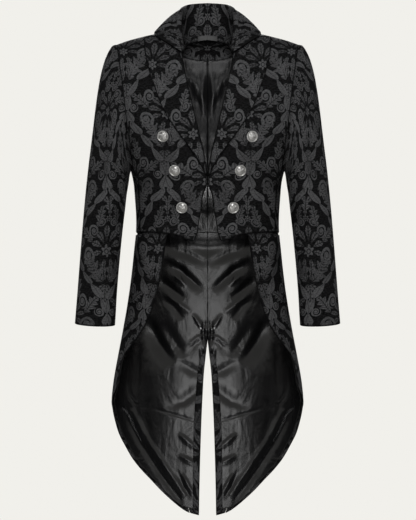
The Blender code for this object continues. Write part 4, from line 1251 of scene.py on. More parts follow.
@dataclass
class Linings:
    """The figured facing inside the back's yoke, and the satin of the back and tails."""

    body: Body
    cloth: float = 0.0010
    gap: float = 0.0012
    loose: float = 0.0022
    facing_rows: int = 4 * FINENESS
    facing_top_margin: float = 0.0015
    facing_side_margin: float = 0.006
    back_side_margin: float = 0.021
    hem_margin: float = 0.012
    edge_margin: float = 0.008
    back_finer: tuple[float, float] = (2.0, 1.4)
    tail_finer: tuple[float, float] = (3.0, 1.3)
    vent_margin: Table = Table(
        "z margin", (-0.66, 0.0002), (-0.70, 0.0030), (-0.74, 0.0120), (-0.80, 0.0150),
        (-1.10, 0.0150))
    back_creases: tuple[Crease, ...] = (
        Crease(((0.0000, -0.046), (0.0004, -0.120), (0.0000, -0.190)), -0.0030, 0.003, 0.003, 1.0),
        Crease(((0.0357, -0.0713), (0.0219, -0.0633), (0.0092, -0.0575)), -0.0024, 0.004, 0.005),
        Crease(((0.0495, -0.0828), (0.0265, -0.1058), (0.0173, -0.1426)), 0.0022, 0.010, 0.012),
        Crease(((0.0103, -0.0851), (0.0126, -0.1311), (0.0080, -0.1771)), 0.0020, 0.007, 0.006),
        Crease(((0.0700, -0.1200), (0.0500, -0.1700), (0.0300, -0.2100)), 0.0024, 0.012, 0.014),
        Crease(((0.0200, -0.2400), (0.0450, -0.2900), (0.0600, -0.3500)), 0.0020, 0.014, 0.012),
    )
    tail_creases: tuple[Crease, ...] = (
        Crease(((0.1050, -0.4740), (0.0500, -0.4780), (0.0000, -0.4840)), 0.0046, 0.017, 0.016,
               1.0),
        Crease(((0.0931, -0.5175), (0.0633, -0.5336), (0.0425, -0.5511), (0.0173, -0.5750)),
               0.0050, 0.008, 0.012),
        Crease(((0.0725, -0.5444), (0.0550, -0.5644)), -0.0030, 0.005, 0.006),
        Crease(((0.1056, -0.5589), (0.0794, -0.5796), (0.0593, -0.5957)), 0.0050, 0.007, 0.009),
        Crease(((0.1012, -0.6003), (0.0794, -0.6164), (0.0639, -0.6417)), 0.0042, 0.007, 0.008),
        Crease(((0.0839, -0.6017), (0.0485, -0.6256)), -0.0030, 0.006, 0.006),
        Crease(((0.1391, -0.6532), (0.1162, -0.6992), (0.0886, -0.7406)), 0.0100, 0.012, 0.018),
        Crease(((0.1000, -0.6600), (0.0800, -0.6950), (0.0580, -0.7300)), 0.0040, 0.012, 0.012),
        Crease(((0.0642, -0.7475), (0.0219, -0.7705)), 0.0026, 0.010, 0.013),
        Crease(((0.0126, -0.8027), (0.0541, -0.8349), (0.0909, -0.8464)), 0.0034, 0.010, 0.016),
        Crease(((0.1191, -0.8549), (0.0747, -0.8682), (0.0311, -0.8809)), 0.0012, 0.0025, 0.0025),
        Crease(((0.0621, -0.9154), (0.0357, -0.9384)), -0.0028, 0.005, 0.006),
        Crease(((0.0598, -0.9648), (0.0311, -0.9798)), -0.0026, 0.005, 0.006),
        Crease(((0.0563, -1.0074), (0.0449, -1.0304), (0.0357, -1.0465)), -0.0024, 0.004, 0.005),
        Crease(((0.0678, -1.0028), (0.0563, -1.0350), (0.0403, -1.0580)), 0.0020, 0.004, 0.005),
        Crease(((0.1621, -0.6831), (0.1644, -0.7636), (0.1691, -0.8441)), 0.0020, 0.007, 0.008),
        Crease(((0.1391, -0.7866), (0.1484, -0.8786), (0.1323, -0.9476)), 0.0024, 0.010, 0.012),
        Crease(((0.1966, -0.8602), (0.1621, -0.9269), (0.1207, -0.9890), (0.0655, -1.0649)),
               0.0032, 0.006, 0.008, 0.6),
        Crease(((0.1759, -0.8602), (0.1391, -0.9269), (0.1001, -0.9844), (0.0541, -1.0511)),
               -0.0024, 0.006, 0.007, 0.5),
        Crease(((0.0000, -0.6739), (0.0173, -0.6624), (0.0311, -0.6394)), -0.0026, 0.004, 0.006),
        Crease(((0.0034, -0.6854), (0.0219, -0.6900), (0.0403, -0.7038)), -0.0026, 0.004, 0.005),
        Crease(((0.0080, -0.6532), (0.0103, -0.6808), (0.0069, -0.7061)), 0.0026, 0.004, 0.004),
        Crease(((0.0173, -0.7130), (0.0126, -0.7360), (0.0149, -0.7636)), 0.0026, 0.005, 0.004),
        Crease(((0.0862, -0.4876), (0.0449, -0.4968), (0.0080, -0.5152)), 0.0034, 0.009, 0.010),
    )

    def hung(self, patch: Patch, creases: Sequence[Crease], loose: float) -> Patch:
        """Satin that hangs a little off the wall, with its creases.

        Args:
            patch: Outer face of the wall that it lines.
            creases: Its creases, standing in from the wall.
            loose: How far it hangs off the wall between them.

        Returns:
            The satin's face towards the wall.
        """
        places = np.stack([np.abs(patch.points[..., 0]), patch.points[..., 2]], axis=-1)
        height = loose + sum(crease.raise_at(places) for crease in creases)
        hung = patch.raised(-(self.body.cloth + self.gap + np.maximum(height, 0.0)))
        across, down = run_along(hung.points, 1), run_along(hung.points, 0)
        return Patch(hung.points, hung.normals, np.stack([across[:, -1:] - across, -down], -1))

    def build(self, figured: bpy.types.Material, satin: bpy.types.Material) -> None:
        """Make the facing and the linings.

        Args:
            figured: Figured cloth.
            satin: Lining.
        """
        body = self.body
        back, skirt = body.patches["back"], body.patches["skirt"]
        every = slice(None)
        facing = back.part(slice(0, self.facing_rows + 1), every)
        facing = facing.trimmed(0, self.facing_top_margin, 0.0)
        facing = facing.trimmed(1, self.facing_side_margin, 0.0)
        facing.points[:, -1, 0] = 0.0
        whole = facing.beside(facing.mirrored())
        whole = whole.raised(-(body.cloth + self.gap))
        piece = Piece("back_neck_facing", "patterned_cloth", Hold.LAID,
                      ("back_left", "back_right"))
        piece.make(Wall(whole, self.cloth), (figured,))
        middle = slice(self.facing_rows, body.yoke_rows + body.body_rows + 1)
        lining = back.part(middle, every)
        lining = lining.trimmed(1, self.back_side_margin, 0.0, self.back_finer[1])
        lining = lining.trimmed(0, 0.0, 0.0, self.back_finer[0])
        make_pair("back_lining", self.hung(lining, self.back_creases, 0.0), self.cloth,
                  (satin,), Hold.HUNG, ("back",))
        tail = slice(body.yoke_rows + body.body_rows, None)
        panel = skirt.beside(back.part(tail, every))
        panel = panel.trimmed(0, 0.0, self.hem_margin, self.tail_finer[0])
        margin = self.vent_margin.read("margin", panel.points[:, -1, 2])
        panel = panel.trimmed(1, self.edge_margin, margin, self.tail_finer[1])
        make_pair("tail_lining", self.hung(panel, self.tail_creases, self.loose), self.cloth,
                  (satin,), Hold.HUNG, ("skirt", "back"))


@dataclass
class Buttons:
    """Domed metal buttons with a rope rim and a raised rosette."""

    form: BodyForm
    body: Body
    places: tuple[tuple[float, float], ...] = (
        (0.1017, -0.2270), (0.0752, -0.3054), (0.0585, -0.3903))
    lift: float = 0.0009
    sides: int = 144
    rings: int = 60
    rope_turns: int = 36
    rope_height: float = 0.00045
    rope_place: float = 0.25
    rope_width: float = 0.13
    groove_place: float = 0.47
    groove_width: float = 0.035
    face_radius: float = 0.0098
    petals: int = 8
    relief: float = 0.0007
    profile: Table = Table(
        "share radius height",
        (0.00, 0.0110, 0.0000), (0.08, 0.0124, 0.0008), (0.18, 0.0132, 0.0024),
        (0.26, 0.0128, 0.0037), (0.34, 0.0118, 0.0041), (0.42, 0.0109, 0.0034),
        (0.50, 0.0102, 0.0034), (0.60, 0.0088, 0.0046), (0.72, 0.0065, 0.0056),
        (0.86, 0.0034, 0.0062), (1.00, 0.0002, 0.0064),
    )

    def grid(self) -> tuple[Array, Array]:
        """Places of the button's face about its foot, and how deep each lies in a hollow.

        Returns:
            The places and the depths.
        """
        share = even(self.rings)[:, None]
        turn = (np.arange(self.sides) * 2 * math.pi / self.sides)[None, :]
        radius = self.profile.read("radius", share) + 0 * turn
        height = self.profile.read("height", share) + 0 * turn
        rope = np.clip(1 - np.abs(share - self.rope_place) / self.rope_width, 0.0, 1.0)
        strand = np.cos(self.rope_turns * turn + share * 26)
        face = np.clip((share - 0.52) / 0.06, 0.0, 1.0)
        reach = radius / self.face_radius
        leaf = np.cos(self.petals * turn / 2) ** 2
        outer_petals = np.exp(-(((reach - 0.30 - 0.55 * leaf) / 0.14) ** 2))
        between = np.sin(self.petals * turn / 2) ** 2
        inner_petals = np.exp(-(((reach - 0.42 * between) / 0.10) ** 2))
        boss = np.exp(-((reach / 0.13) ** 2)) * 1.3
        relief = face * np.maximum(np.maximum(outer_petals, 0.8 * inner_petals), boss)
        height = height + self.rope_height * rope * strand + self.relief * relief
        radius = radius + 0.5 * self.rope_height * rope * strand
        hollow = 1 - np.clip(np.where(face > 0, relief, 0.5 + 0.5 * strand * rope), 0.0, 1.0)
        groove = np.exp(-(((share - self.groove_place) / self.groove_width) ** 2))
        hollow = np.clip(np.maximum(hollow, groove), 0.0, 1.0)
        flat = np.stack([radius * np.cos(turn), radius * np.sin(turn), height], axis=-1)
        return flat.reshape(-1, 3), hollow.ravel()

    def build(self, silver: bpy.types.Material) -> None:
        """Make three buttons down each front, in old silver.

        Args:
            silver: Old silver.
        """
        flat, hollow = self.grid()
        ring = np.arange(self.sides)
        faces = [tuple(ring.tolist())]
        for k in range(self.rings):
            a, b = k * self.sides + ring, k * self.sides + np.roll(ring, -1)
            faces += np.stack([b, a, a + self.sides, b + self.sides], axis=1).tolist()
        faces.append(tuple((self.rings * self.sides + ring[::-1]).tolist()))
        for number, (x, z) in enumerate(self.places, start=1):
            seat = Patch(self.form.ahead(x, z)[None, None],
                         self.form.normal_ahead(x, z)[None, None], np.zeros((1, 1, 2)))
            seat = creased(seat, self.body.front_creases, -1.0)
            for name, side in (("left", 1.0), ("right", -1.0)):
                mirror = np.array((side, 1.0, 1.0))
                foot, axis = seat.points[0, 0] * mirror, seat.normals[0, 0] * mirror
                across = unit(np.cross(axis, (0.0, 0.0, 1.0)))
                frame = np.stack([across, np.cross(across, axis), axis])
                mesh = bpy.data.meshes.new(f"button_{name}_{number}_metal")
                mesh.from_pydata((foot + axis * self.lift + flat @ frame).tolist(), [], faces)
                mesh.shade_smooth()
                mesh.attributes.new("hollow", "FLOAT", "POINT").data.foreach_set(
                    "value", hollow.astype(np.float32))
                mesh.materials.append(silver)
                piece = put_in_scene(mesh.name, mesh)
                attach(piece, "root")
                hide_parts(f"button_{name}_{number}")


class Graph:
    """A tree of shader nodes, built by short calls."""

    def __init__(self, tree: bpy.types.NodeTree) -> None:
        """Work on one tree."""
        self.tree = tree

    def add(self, kind: str, inputs: dict[str | int, Value] | None = None,
            **settings: Value) -> bpy.types.Node:
        """Add a node.

        Args:
            kind: Its type, without the leading words.
            inputs: Values or sockets for its inputs.
            settings: Its own properties.

        Returns:
            The node.
        """
        node = self.tree.nodes.new("ShaderNode" + kind)
        for name, value in settings.items():
            setattr(node, name, value)
        for name, value in (inputs or {}).items():
            self.feed(node.inputs[name], value)
        return node

    def feed(self, socket: bpy.types.NodeSocket, value: Value) -> None:
        """Link a socket, or set its value."""
        if isinstance(value, bpy.types.NodeSocket):
            self.tree.links.new(value, socket)
        else:
            socket.default_value = value

    def call(self, tree: bpy.types.NodeTree, inputs: dict[str, Value]
             ) -> bpy.types.bpy_prop_collection:
        """Add a group with values or sockets for its inputs, and give back its outputs.

        Args:
            tree: The group.
            inputs: Values or sockets by name.

        Returns:
            The outputs.
        """
        node = self.tree.nodes.new("ShaderNodeGroup")
        node.node_tree = tree
        for name, value in inputs.items():
            self.feed(node.inputs[name], value)
        return node.outputs

    def math(self, operation: str, *values: Value, clamp: bool = False) -> bpy.types.NodeSocket:
        """Result of a sum on numbers."""
        node = self.add("Math", dict(enumerate(values)), operation=operation, use_clamp=clamp)
        return node.outputs[0]

    def times(self, first: Value, second: Value, clamp: bool = False) -> bpy.types.NodeSocket:
        """Product of two numbers."""
        return self.math("MULTIPLY", first, second, clamp=clamp)

    def minus(self, first: Value, second: Value) -> bpy.types.NodeSocket:
        """The first number less the second."""
        return self.math("SUBTRACT", first, second)

    def scaled(self, value: Value, factor: Value, added: Value,
               clamp: bool = False) -> bpy.types.NodeSocket:
        """A number times a factor, with another added."""
        return self.math("MULTIPLY_ADD", value, factor, added, clamp=clamp)

    def vector(self, operation: str, *values: Value, out: str = "Vector") -> bpy.types.NodeSocket:
        """Result of a sum on vectors."""
        node = self.add("VectorMath", dict(enumerate(values)), operation=operation)
        return node.outputs[out]

    def highest(self, values: Sequence[Value]) -> Value:
        """The highest of several numbers.

        Args:
            values: The numbers.

        Returns:
            The highest.
        """
        best = values[0]
        for value in values[1:]:
            best = self.math("MAXIMUM", best, value)
        return best

    def blend(self, share: Value, start: Value, end: Value) -> bpy.types.NodeSocket:
        """Colour between two.

        Args:
            share: 0 for the first colour, 1 for the second.
            start: First colour.
            end: Second colour.

        Returns:
            The colour.
        """
        node = self.add("Mix", data_type="RGBA")
        for socket, value in ((0, share), (6, start), (7, end)):
            self.feed(node.inputs[socket], value)
        return node.outputs[2]


def new_group(name: str, inputs: dict[str, str], outputs: dict[str, str]
              ) -> tuple[Graph, bpy.types.Node, bpy.types.Node]:
    """An empty shader node group with named sockets.

    Args:
        name: The group's name.
        inputs: Kind of each input, Float, Vector or Color.
        outputs: Kind of each output.

    Returns:
        The graph, its input node and its output node.
    """
    tree = bpy.data.node_groups.new(name, "ShaderNodeTree")
    for in_out, sockets in (("INPUT", inputs), ("OUTPUT", outputs)):
        for label, kind in sockets.items():
            tree.interface.new_socket(label, in_out=in_out, socket_type="NodeSocket" + kind)
    graph = Graph(tree)
    source = tree.nodes.new("NodeGroupInput")
    sink = tree.nodes.new("NodeGroupOutput")
    return graph, source, sink


@dataclass(frozen=True)
class Leaf:
    """A leaf of the figure, in millimetres and degrees from upright.

    Attributes:
        x: Place of its foot off the figure's upright axis.
        y: Height of its foot.
        angle: Its lean.
        length: Its length.
        width: Half its greatest width.
        bend: How far its tip curls aside.
        lobes: Lobes along its edge.
        belly: 1 for widest near its foot, 2 near its tip.
    """

    x: float
    y: float
    angle: float
    length: float
    width: float
    bend: float = 0.0
    lobes: float = 0.0
    belly: float = 0.9

    def inputs(self) -> dict[str, Value]:
        """Values for the leaf group."""
        lean = math.radians(self.angle)
        return {"Foot": (self.x, self.y, 0.0), "Along": (math.sin(lean), math.cos(lean), 0.0),
                "Aside": (math.cos(lean), -math.sin(lean), 0.0), "Length": self.length,
                "Width": self.width, "Bend": self.bend, "Lobes": self.lobes,
                "Belly": self.belly}


@dataclass(frozen=True)
class Scroll:
    """A tapering scroll of the figure, in millimetres.

    Attributes:
        x: Place of its eye off the upright axis.
        y: Height of its eye.
        radius: Its reach.
        hand: 1 or -1, the way that it turns.
        phase: Where in the turn it starts.
    """

    x: float
    y: float
    radius: float
    hand: float
    phase: float

    def inputs(self) -> dict[str, Value]:
        """Values for the scroll group."""
        return {"Eye": (self.x, self.y, 0.0), "Radius": self.radius, "Hand": self.hand,
                "Phase": self.phase}


@dataclass(frozen=True)
class Flower:
    """A round flower of the figure, in millimetres."""

    x: float
    y: float
    radius: float
    petals: float

    def inputs(self) -> dict[str, Value]:
        """Values for the flower group."""
        return {"Eye": (self.x, self.y, 0.0), "Radius": self.radius, "Petals": self.petals}


@dataclass(frozen=True)
class Damask:
    """The woven figure: garlands in an ogee with scrolls, leaves and palmettes, mirrored.

    Attributes:
        half_repeat: Half the figure's width.
        height: Its height.
        softness: How sharp its edges are, per millimetre.
        sway: How unevenly it is drawn, in millimetres.
        leaves: Its leaves.
        scrolls: Its scrolls.
        flowers: Its flowers.
    """

    half_repeat: float = 97.0
    height: float = 316.0
    softness: float = 1.3
    sway: float = 26.0
    garland: float = 9.0
    leaves: tuple[Leaf, ...] = (
        Leaf(0.0, -2.0, 0.0, 42.0, 8.5, 0.0, 0.0, 1.9),
        Leaf(3.0, -4.0, 30.0, 40.0, 7.5, 7.0, 0.0, 1.9),
        Leaf(5.0, -8.0, 60.0, 36.0, 7.0, 9.0, 0.0, 1.9),
        Leaf(6.0, -14.0, 92.0, 30.0, 6.0, 9.0, 0.0, 1.8),
        Leaf(6.0, -92.0, 44.0, 88.0, 17.0, -24.0, 5.0),
        Leaf(4.0, -88.0, 14.0, 62.0, 9.0, -10.0, 3.0),
        Leaf(40.0, 2.0, 40.0, 54.0, 13.0, 14.0, 4.0),
        Leaf(26.0, 36.0, -4.0, 58.0, 11.0, -10.0, 4.0),
        Leaf(0.0, 62.0, 0.0, 44.0, 10.0, 0.0, 3.0, 1.2),
        Leaf(2.0, 98.0, 40.0, 30.0, 6.5, -8.0, 2.0),
        Leaf(0.0, -98.0, 180.0, 44.0, 9.0, 0.0, 3.0),
        Leaf(2.0, -98.0, 138.0, 36.0, 7.0, 9.0, 2.0),
        Leaf(64.0, -18.0, 196.0, 46.0, 10.0, 12.0, 3.0),
        Leaf(20.0, -36.0, 196.0, 34.0, 6.0, 8.0, 2.0, 1.3),
    )
    scrolls: tuple[Scroll, ...] = (
        Scroll(50.0, -26.0, 19.0, 1.0, 0.15),
        Scroll(37.0, 28.0, 15.0, -1.0, 0.60),
        Scroll(17.0, 48.0, 11.0, 1.0, 0.30),
        Scroll(22.0, -72.0, 12.0, -1.0, 0.70),
        Scroll(13.0, 124.0, 12.0, 1.0, 0.40),
        Scroll(78.0, 2.0, 12.0, -1.0, 0.90),
    )
    flowers: tuple[Flower, ...] = (
        Flower(0.0, -14.0, 13.0, 6.0),
        Flower(0.0, 56.0, 9.0, 7.0),
        Flower(0.0, -150.0, 10.0, 5.0),
        Flower(30.0, -52.0, 8.0, 5.0),
    )

    def leaf_group(self) -> bpy.types.NodeTree:
        """Group that puts out one leaf, shaded along its ribs.

        Returns:
            The group.
        """
        graph, source, sink = new_group(
            "damask_leaf",
            {"Place": "Vector", "Foot": "Vector", "Along": "Vector", "Aside": "Vector",
             "Length": "Float", "Width": "Float", "Bend": "Float", "Lobes": "Float",
             "Belly": "Float"},
            {"Shade": "Float"})
        at = source.outputs
        offset = graph.vector("SUBTRACT", at["Place"], at["Foot"])
        along = graph.vector("DOT_PRODUCT", offset, at["Along"], out="Value")
        aside = graph.vector("DOT_PRODUCT", offset, at["Aside"], out="Value")
        share = graph.math("DIVIDE", along, at["Length"], clamp=True)
        curl = graph.times(graph.times(share, share), at["Bend"])
        across = graph.math("ABSOLUTE", graph.minus(aside, curl))
        swell = graph.math("SINE", graph.times(graph.math(
            "POWER", share, at["Belly"]), math.pi))
        slant = graph.scaled(across, -0.75, along)
        lobe = graph.math("DIVIDE", graph.times(slant, at["Lobes"]), at["Length"])
        lobe = graph.math("SINE", graph.times(lobe, 2 * math.pi))
        lobe = graph.scaled(lobe, 0.34, 0.84)
        lobe = graph.math("MAXIMUM", lobe, graph.math("LESS_THAN", at["Lobes"], 0.5))
        reach = graph.times(graph.times(swell, at["Width"]), lobe)
        inside = graph.minus(graph.minus(reach, across), 0.4)
        cover = graph.scaled(inside, self.softness, 0.5, clamp=True)
        rib = graph.math("SINE", graph.times(slant, 0.95))
        rib = graph.scaled(rib, 0.40, 0.78, clamp=True)
        vein = graph.scaled(across, 0.6, 0.0, clamp=True)
        shade = graph.times(graph.times(cover, rib), vein)
        graph.feed(sink.inputs["Shade"], shade)
        return graph.tree

    def scroll_group(self) -> bpy.types.NodeTree:
        """Group that puts out one scroll.

        Returns:
            The group.
        """
        graph, source, sink = new_group(
            "damask_scroll",
            {"Place": "Vector", "Eye": "Vector", "Radius": "Float", "Hand": "Float",
             "Phase": "Float"}, {"Shade": "Float"})
        at = source.outputs
        growth = math.log(2.3)
        offset = graph.vector("SUBTRACT", at["Place"], at["Eye"])
        parts = graph.add("SeparateXYZ", {0: offset}).outputs
        reach = graph.vector("LENGTH", offset, out="Value")
        reach = graph.math("MAXIMUM", reach, 0.01)
        turn = graph.times(graph.math("ARCTAN2", parts[1], parts[0]), at["Hand"])
        turn = graph.scaled(turn, -0.5 / math.pi, at["Phase"])
        ratio = graph.math("DIVIDE", reach, at["Radius"])
        wind = graph.math("DIVIDE", graph.math("LOGARITHM", ratio, math.e), growth)
        wind = graph.math("FRACT", graph.math("ADD", graph.math("ADD", wind, turn), 8.0))
        wind = graph.math("ABSOLUTE", graph.minus(wind, 0.5))
        band = graph.scaled(wind, -growth, 0.23)
        inside = graph.times(band, reach)
        inside = graph.math("MINIMUM", inside, graph.minus(at["Radius"], reach))
        eye = graph.minus(graph.times(at["Radius"], 0.26), reach)
        inside = graph.math("MAXIMUM", inside, eye)
        cover = graph.scaled(inside, self.softness, 0.5, clamp=True)
        graph.feed(sink.inputs["Shade"], cover)
        return graph.tree

    def flower_group(self) -> bpy.types.NodeTree:
        """Group that puts out one flower.

        Returns:
            The group.
        """
        graph, source, sink = new_group(
            "damask_flower",
            {"Place": "Vector", "Eye": "Vector", "Radius": "Float", "Petals": "Float"},
            {"Shade": "Float"})
        at = source.outputs
        offset = graph.vector("SUBTRACT", at["Place"], at["Eye"])
        parts = graph.add("SeparateXYZ", {0: offset}).outputs
        reach = graph.vector("LENGTH", offset, out="Value")
        turn = graph.times(graph.math("ARCTAN2", parts[0], parts[1]), at["Petals"])
        petal = graph.scaled(graph.math("COSINE", turn), 0.22, 0.78)
        inside = graph.minus(graph.times(petal, at["Radius"]), reach)
        heart = graph.scaled(at["Radius"], -0.36, reach)
        inside = graph.math("MINIMUM", inside, graph.minus(graph.math("ABSOLUTE", heart), 0.9))
        cover = graph.scaled(inside, self.softness, 0.5, clamp=True)
        graph.feed(sink.inputs["Shade"], cover)
        return graph.tree

    def swayed(self, graph: Graph, lay: Value) -> Sequence[Value]:
        """Places in millimetres, a little unevenly drawn.

        Args:
            graph: The figure's graph.
            lay: Places on the flat cloth.

        Returns:
            The places, across and up.
        """
        noise = graph.add("TexNoise", {"Vector": lay, "Scale": 13.0, "Detail": 1.0}).outputs[1]
        noise = graph.vector("SUBTRACT", noise, (0.5, 0.5, 0.5))
        move = graph.vector("SCALE", noise)
        move.node.inputs["Scale"].default_value = self.sway
        place = graph.vector("SCALE", lay)
        place.node.inputs["Scale"].default_value = 1000.0
        return graph.add("SeparateXYZ", {0: graph.vector("ADD", place, move)}).outputs

    def garlands(self, graph: Graph, across: Value, up: Value, frame: Value) -> Value:
        """Chain of narrow leaves along the ogee.

        Args:
            graph: The figure's graph.
            across: Place across.
            up: Place up.
            frame: Place of the ogee at this height.

        Returns:
            How bright the chain is there.
        """
        beat = graph.math("FRACT", graph.times(up, 10.0 / self.height))
        swell = graph.math("SINE", graph.times(graph.math("POWER", beat, 0.7), math.pi))
        off = graph.math("ABSOLUTE", graph.minus(across, frame))
        width = graph.scaled(swell, self.garland, 1.6)
        band = graph.minus(width, off)
        vein = graph.scaled(off, 0.5, 0.25, clamp=True)
        cover = graph.scaled(band, self.softness, 0.2, clamp=True)
        return graph.times(cover, vein)

    def group(self) -> bpy.types.NodeTree:
        """Group that puts out the whole figure from places on the flat cloth, in metres.

        Returns:
            The group.
        """
        graph, source, sink = new_group("damask", {"Lay": "Vector"}, {"Figure": "Float"})
        parts = self.swayed(graph, source.outputs["Lay"])
        half, tall = self.half_repeat, self.height / 2
        across = graph.math("PINGPONG", parts[0], half)
        up = graph.math("WRAP", parts[1], tall, -tall)
        wave = graph.math("COSINE", graph.times(up, math.pi / tall))
        frame = graph.scaled(wave, half / 2, half / 2)
        other_up = graph.math("WRAP", graph.math("ADD", up, tall), tall, -tall)
        own = graph.add("CombineXYZ", {0: across, 1: up}).outputs[0]
        other = graph.add("CombineXYZ", {0: graph.minus(half, across), 1: other_up})
        mix = graph.add("Mix", data_type="VECTOR")
        share = graph.math("LESS_THAN", across, frame)
        for socket, value in ((0, share), (4, other.outputs[0]), (5, own)):
            graph.feed(mix.inputs[socket], value)
        shades = []
        for tree, motifs in ((self.leaf_group(), self.leaves),
                             (self.scroll_group(), self.scrolls),
                             (self.flower_group(), self.flowers)):
            for motif in motifs:
                inputs = {"Place": mix.outputs[1], **motif.inputs()}
                shades.append(graph.call(tree, inputs)["Shade"])
        shades.append(self.garlands(graph, across, up, frame))
        graph.feed(sink.inputs["Figure"], graph.highest(shades))
        return graph.tree


@dataclass(frozen=True)
class Weave:
    """Threads and the small unevenness of woven cloth.

    Attributes:
        thread: Distance between threads.
        slub: Length of the uneven patches.
    """

    thread: float = 0.0011
    slub: float = 0.0024

    def group(self) -> bpy.types.NodeTree:
        """Group that puts out thread height, and speckle and mottle about a half.

        Returns:
            The group.
        """
        graph, source, sink = new_group(
            "weave", {"Lay": "Vector"}, {"Thread": "Float", "Speckle": "Float", "Mottle": "Float"})
        lay = source.outputs["Lay"]
        parts = graph.add("SeparateXYZ", {0: lay}).outputs
        rate = 2 * math.pi / self.thread
        weft = graph.math("SINE", graph.times(parts[1], rate))
        warp = graph.math("SINE", graph.scaled(parts[1], rate / 2, graph.times(parts[0], rate)))
        thread = graph.scaled(graph.times(weft, warp), 0.5, 0.5)
        stretched = graph.vector("MULTIPLY", lay, (0.4, 1.0, 1.0))
        fine = graph.add("TexNoise", {"Vector": stretched, "Scale": 1.0 / self.slub,
                                      "Detail": 2.0, "Roughness": 0.6})
        broad = graph.add("TexNoise", {"Vector": lay, "Scale": 14.0, "Detail": 2.0})
        graph.feed(sink.inputs["Thread"], thread)
        graph.feed(sink.inputs["Speckle"], fine.outputs[0])
        graph.feed(sink.inputs["Mottle"], broad.outputs[0])
        return graph.tree


def new_finish(name: str) -> tuple[Graph, bpy.types.Node]:
    """A new material, its graph and its shader.

    Args:
        name: The material's name.

    Returns:
        The graph and the shader.
    """
    material = bpy.data.materials.new(name)
    material.use_nodes = True
    graph = Graph(material.node_tree)
    return graph, material.node_tree.nodes["Principled BSDF"]


@dataclass(frozen=True)
class FiguredCloth:
    """Dark damask: a shining figure on a dull, grainy ground.

    Attributes:
        ground: Colour of the ground.
        figure: Colour of the figure.
        ground_roughness: Roughness of the ground.
        figure_roughness: Roughness of the figure.
    """

    ground: tuple[float, float, float] = (0.0020, 0.0020, 0.0021)
    figure: tuple[float, float, float] = (0.066, 0.066, 0.068)
    ground_roughness: float = 0.80
    figure_roughness: float = 0.50

    def make(self, damask: bpy.types.NodeTree, weave: bpy.types.NodeTree) -> bpy.types.Material:
        """Make the material.

        Args:
            damask: Group of the figure.
            weave: Group of the threads.

        Returns:
            The material.
        """
        graph, shader = new_finish("figured_cloth")
        lay = graph.add("UVMap", uv_map="lay").outputs[0]
        figure = graph.call(damask, {"Lay": lay})["Figure"]
        threads = graph.call(weave, {"Lay": lay})
        speckle, mottle = threads["Speckle"], threads["Mottle"]
        grain = graph.scaled(speckle, 6.0, -2.6, clamp=True)
        shine = graph.scaled(mottle, 2.6, -0.45, clamp=True)
        bright = graph.times(figure, graph.scaled(shine, 0.75, 0.25))
        bright = graph.times(bright, graph.scaled(grain, 0.45, 0.65))
        bright = graph.scaled(grain, 0.11, bright)
        # Painted shade along the edges: the figure fades to the dark ground there
        inset = graph.add("Attribute", attribute_name="inset").outputs["Fac"]
        bright = graph.times(bright, inset, clamp=True)
        graph.feed(shader.inputs["Base Color"], graph.blend(
            bright, (*self.ground, 1.0), (*self.figure, 1.0)))
        graph.feed(shader.inputs["Roughness"], graph.scaled(figure,
            self.figure_roughness - self.ground_roughness, self.ground_roughness))
        height = graph.scaled(speckle, 1.6, threads["Thread"])
        bump = graph.add("Bump", {"Height": height, "Strength": 0.35, "Distance": 0.0006})
        graph.feed(shader.inputs["Normal"], bump.outputs[0])
        shader.inputs["Specular IOR Level"].default_value = 0.04
        return bpy.data.materials["figured_cloth"]


@dataclass(frozen=True)
class Satin:
    """Dark lining satin, smooth along its threads."""

    colour: tuple[float, float, float] = (0.0022, 0.0022, 0.0024)
    roughness: float = 0.25

    def make(self, weave: bpy.types.NodeTree) -> bpy.types.Material:
        """Make the material, with small ripples from a stretched noise and the weave's speckle.

        Args:
            weave: Group of the threads.

        Returns:
            The material.
        """
        graph, shader = new_finish("lining_satin")
        lay = graph.add("UVMap", uv_map="lay").outputs[0]
        threads = graph.call(weave, {"Lay": lay})
        light = tuple(c * 1.7 for c in self.colour)
        graph.feed(shader.inputs["Base Color"], graph.blend(
            threads["Mottle"], (*self.colour, 1.0), (*light, 1.0)))
        graph.feed(shader.inputs["Roughness"], graph.scaled(
            threads["Mottle"], 0.10, self.roughness - 0.05))
        stretched = graph.vector("MULTIPLY", lay, (1.0, 0.35, 1.0))
        ripple = graph.add("TexNoise", {"Vector": stretched, "Scale": 26.0, "Detail": 3.0,
                                        "Roughness": 0.5, "Distortion": 0.6})
        height = graph.scaled(threads["Speckle"], 0.02, ripple.outputs[0])
        bump = graph.add("Bump", {"Height": height, "Strength": 0.5, "Distance": 0.006})
        graph.feed(shader.inputs["Normal"], bump.outputs[0])
        shader.inputs["Specular IOR Level"].default_value = 0.45
        return bpy.data.materials["lining_satin"]


@dataclass(frozen=True)
class OldSilver:
    """Silver worn bright on what stands out and dark in its hollows."""

    bright: tuple[float, float, float] = (0.088, 0.086, 0.083)
    dark: tuple[float, float, float] = (0.008, 0.008, 0.0075)

    def make(self) -> bpy.types.Material:
        """Make the material.

        Returns:
            The material.
        """
        graph, shader = new_finish("old_silver")
        hollow = graph.add("Attribute", attribute_name="hollow").outputs["Fac"]
        place = graph.add("TexCoord").outputs["Object"]
        scuff = graph.add("TexNoise", {"Vector": place, "Scale": 900.0, "Detail": 3.0}).outputs[0]
        tarnish = graph.scaled(graph.math("POWER", hollow, 0.9), 1.1,
                               graph.scaled(scuff, 0.5, -0.10), clamp=True)
        graph.feed(shader.inputs["Base Color"], graph.blend(
            tarnish, (*self.bright, 1.0), (*self.dark, 1.0)))
        graph.feed(shader.inputs["Roughness"], graph.scaled(tarnish, 0.35, 0.22))
        bump = graph.add("Bump", {"Height": scuff, "Strength": 0.15, "Distance": 0.0002})
        graph.feed(shader.inputs["Normal"], bump.outputs[0])
        shader.inputs["Metallic"].default_value = 1.0
        return bpy.data.materials["old_silver"]


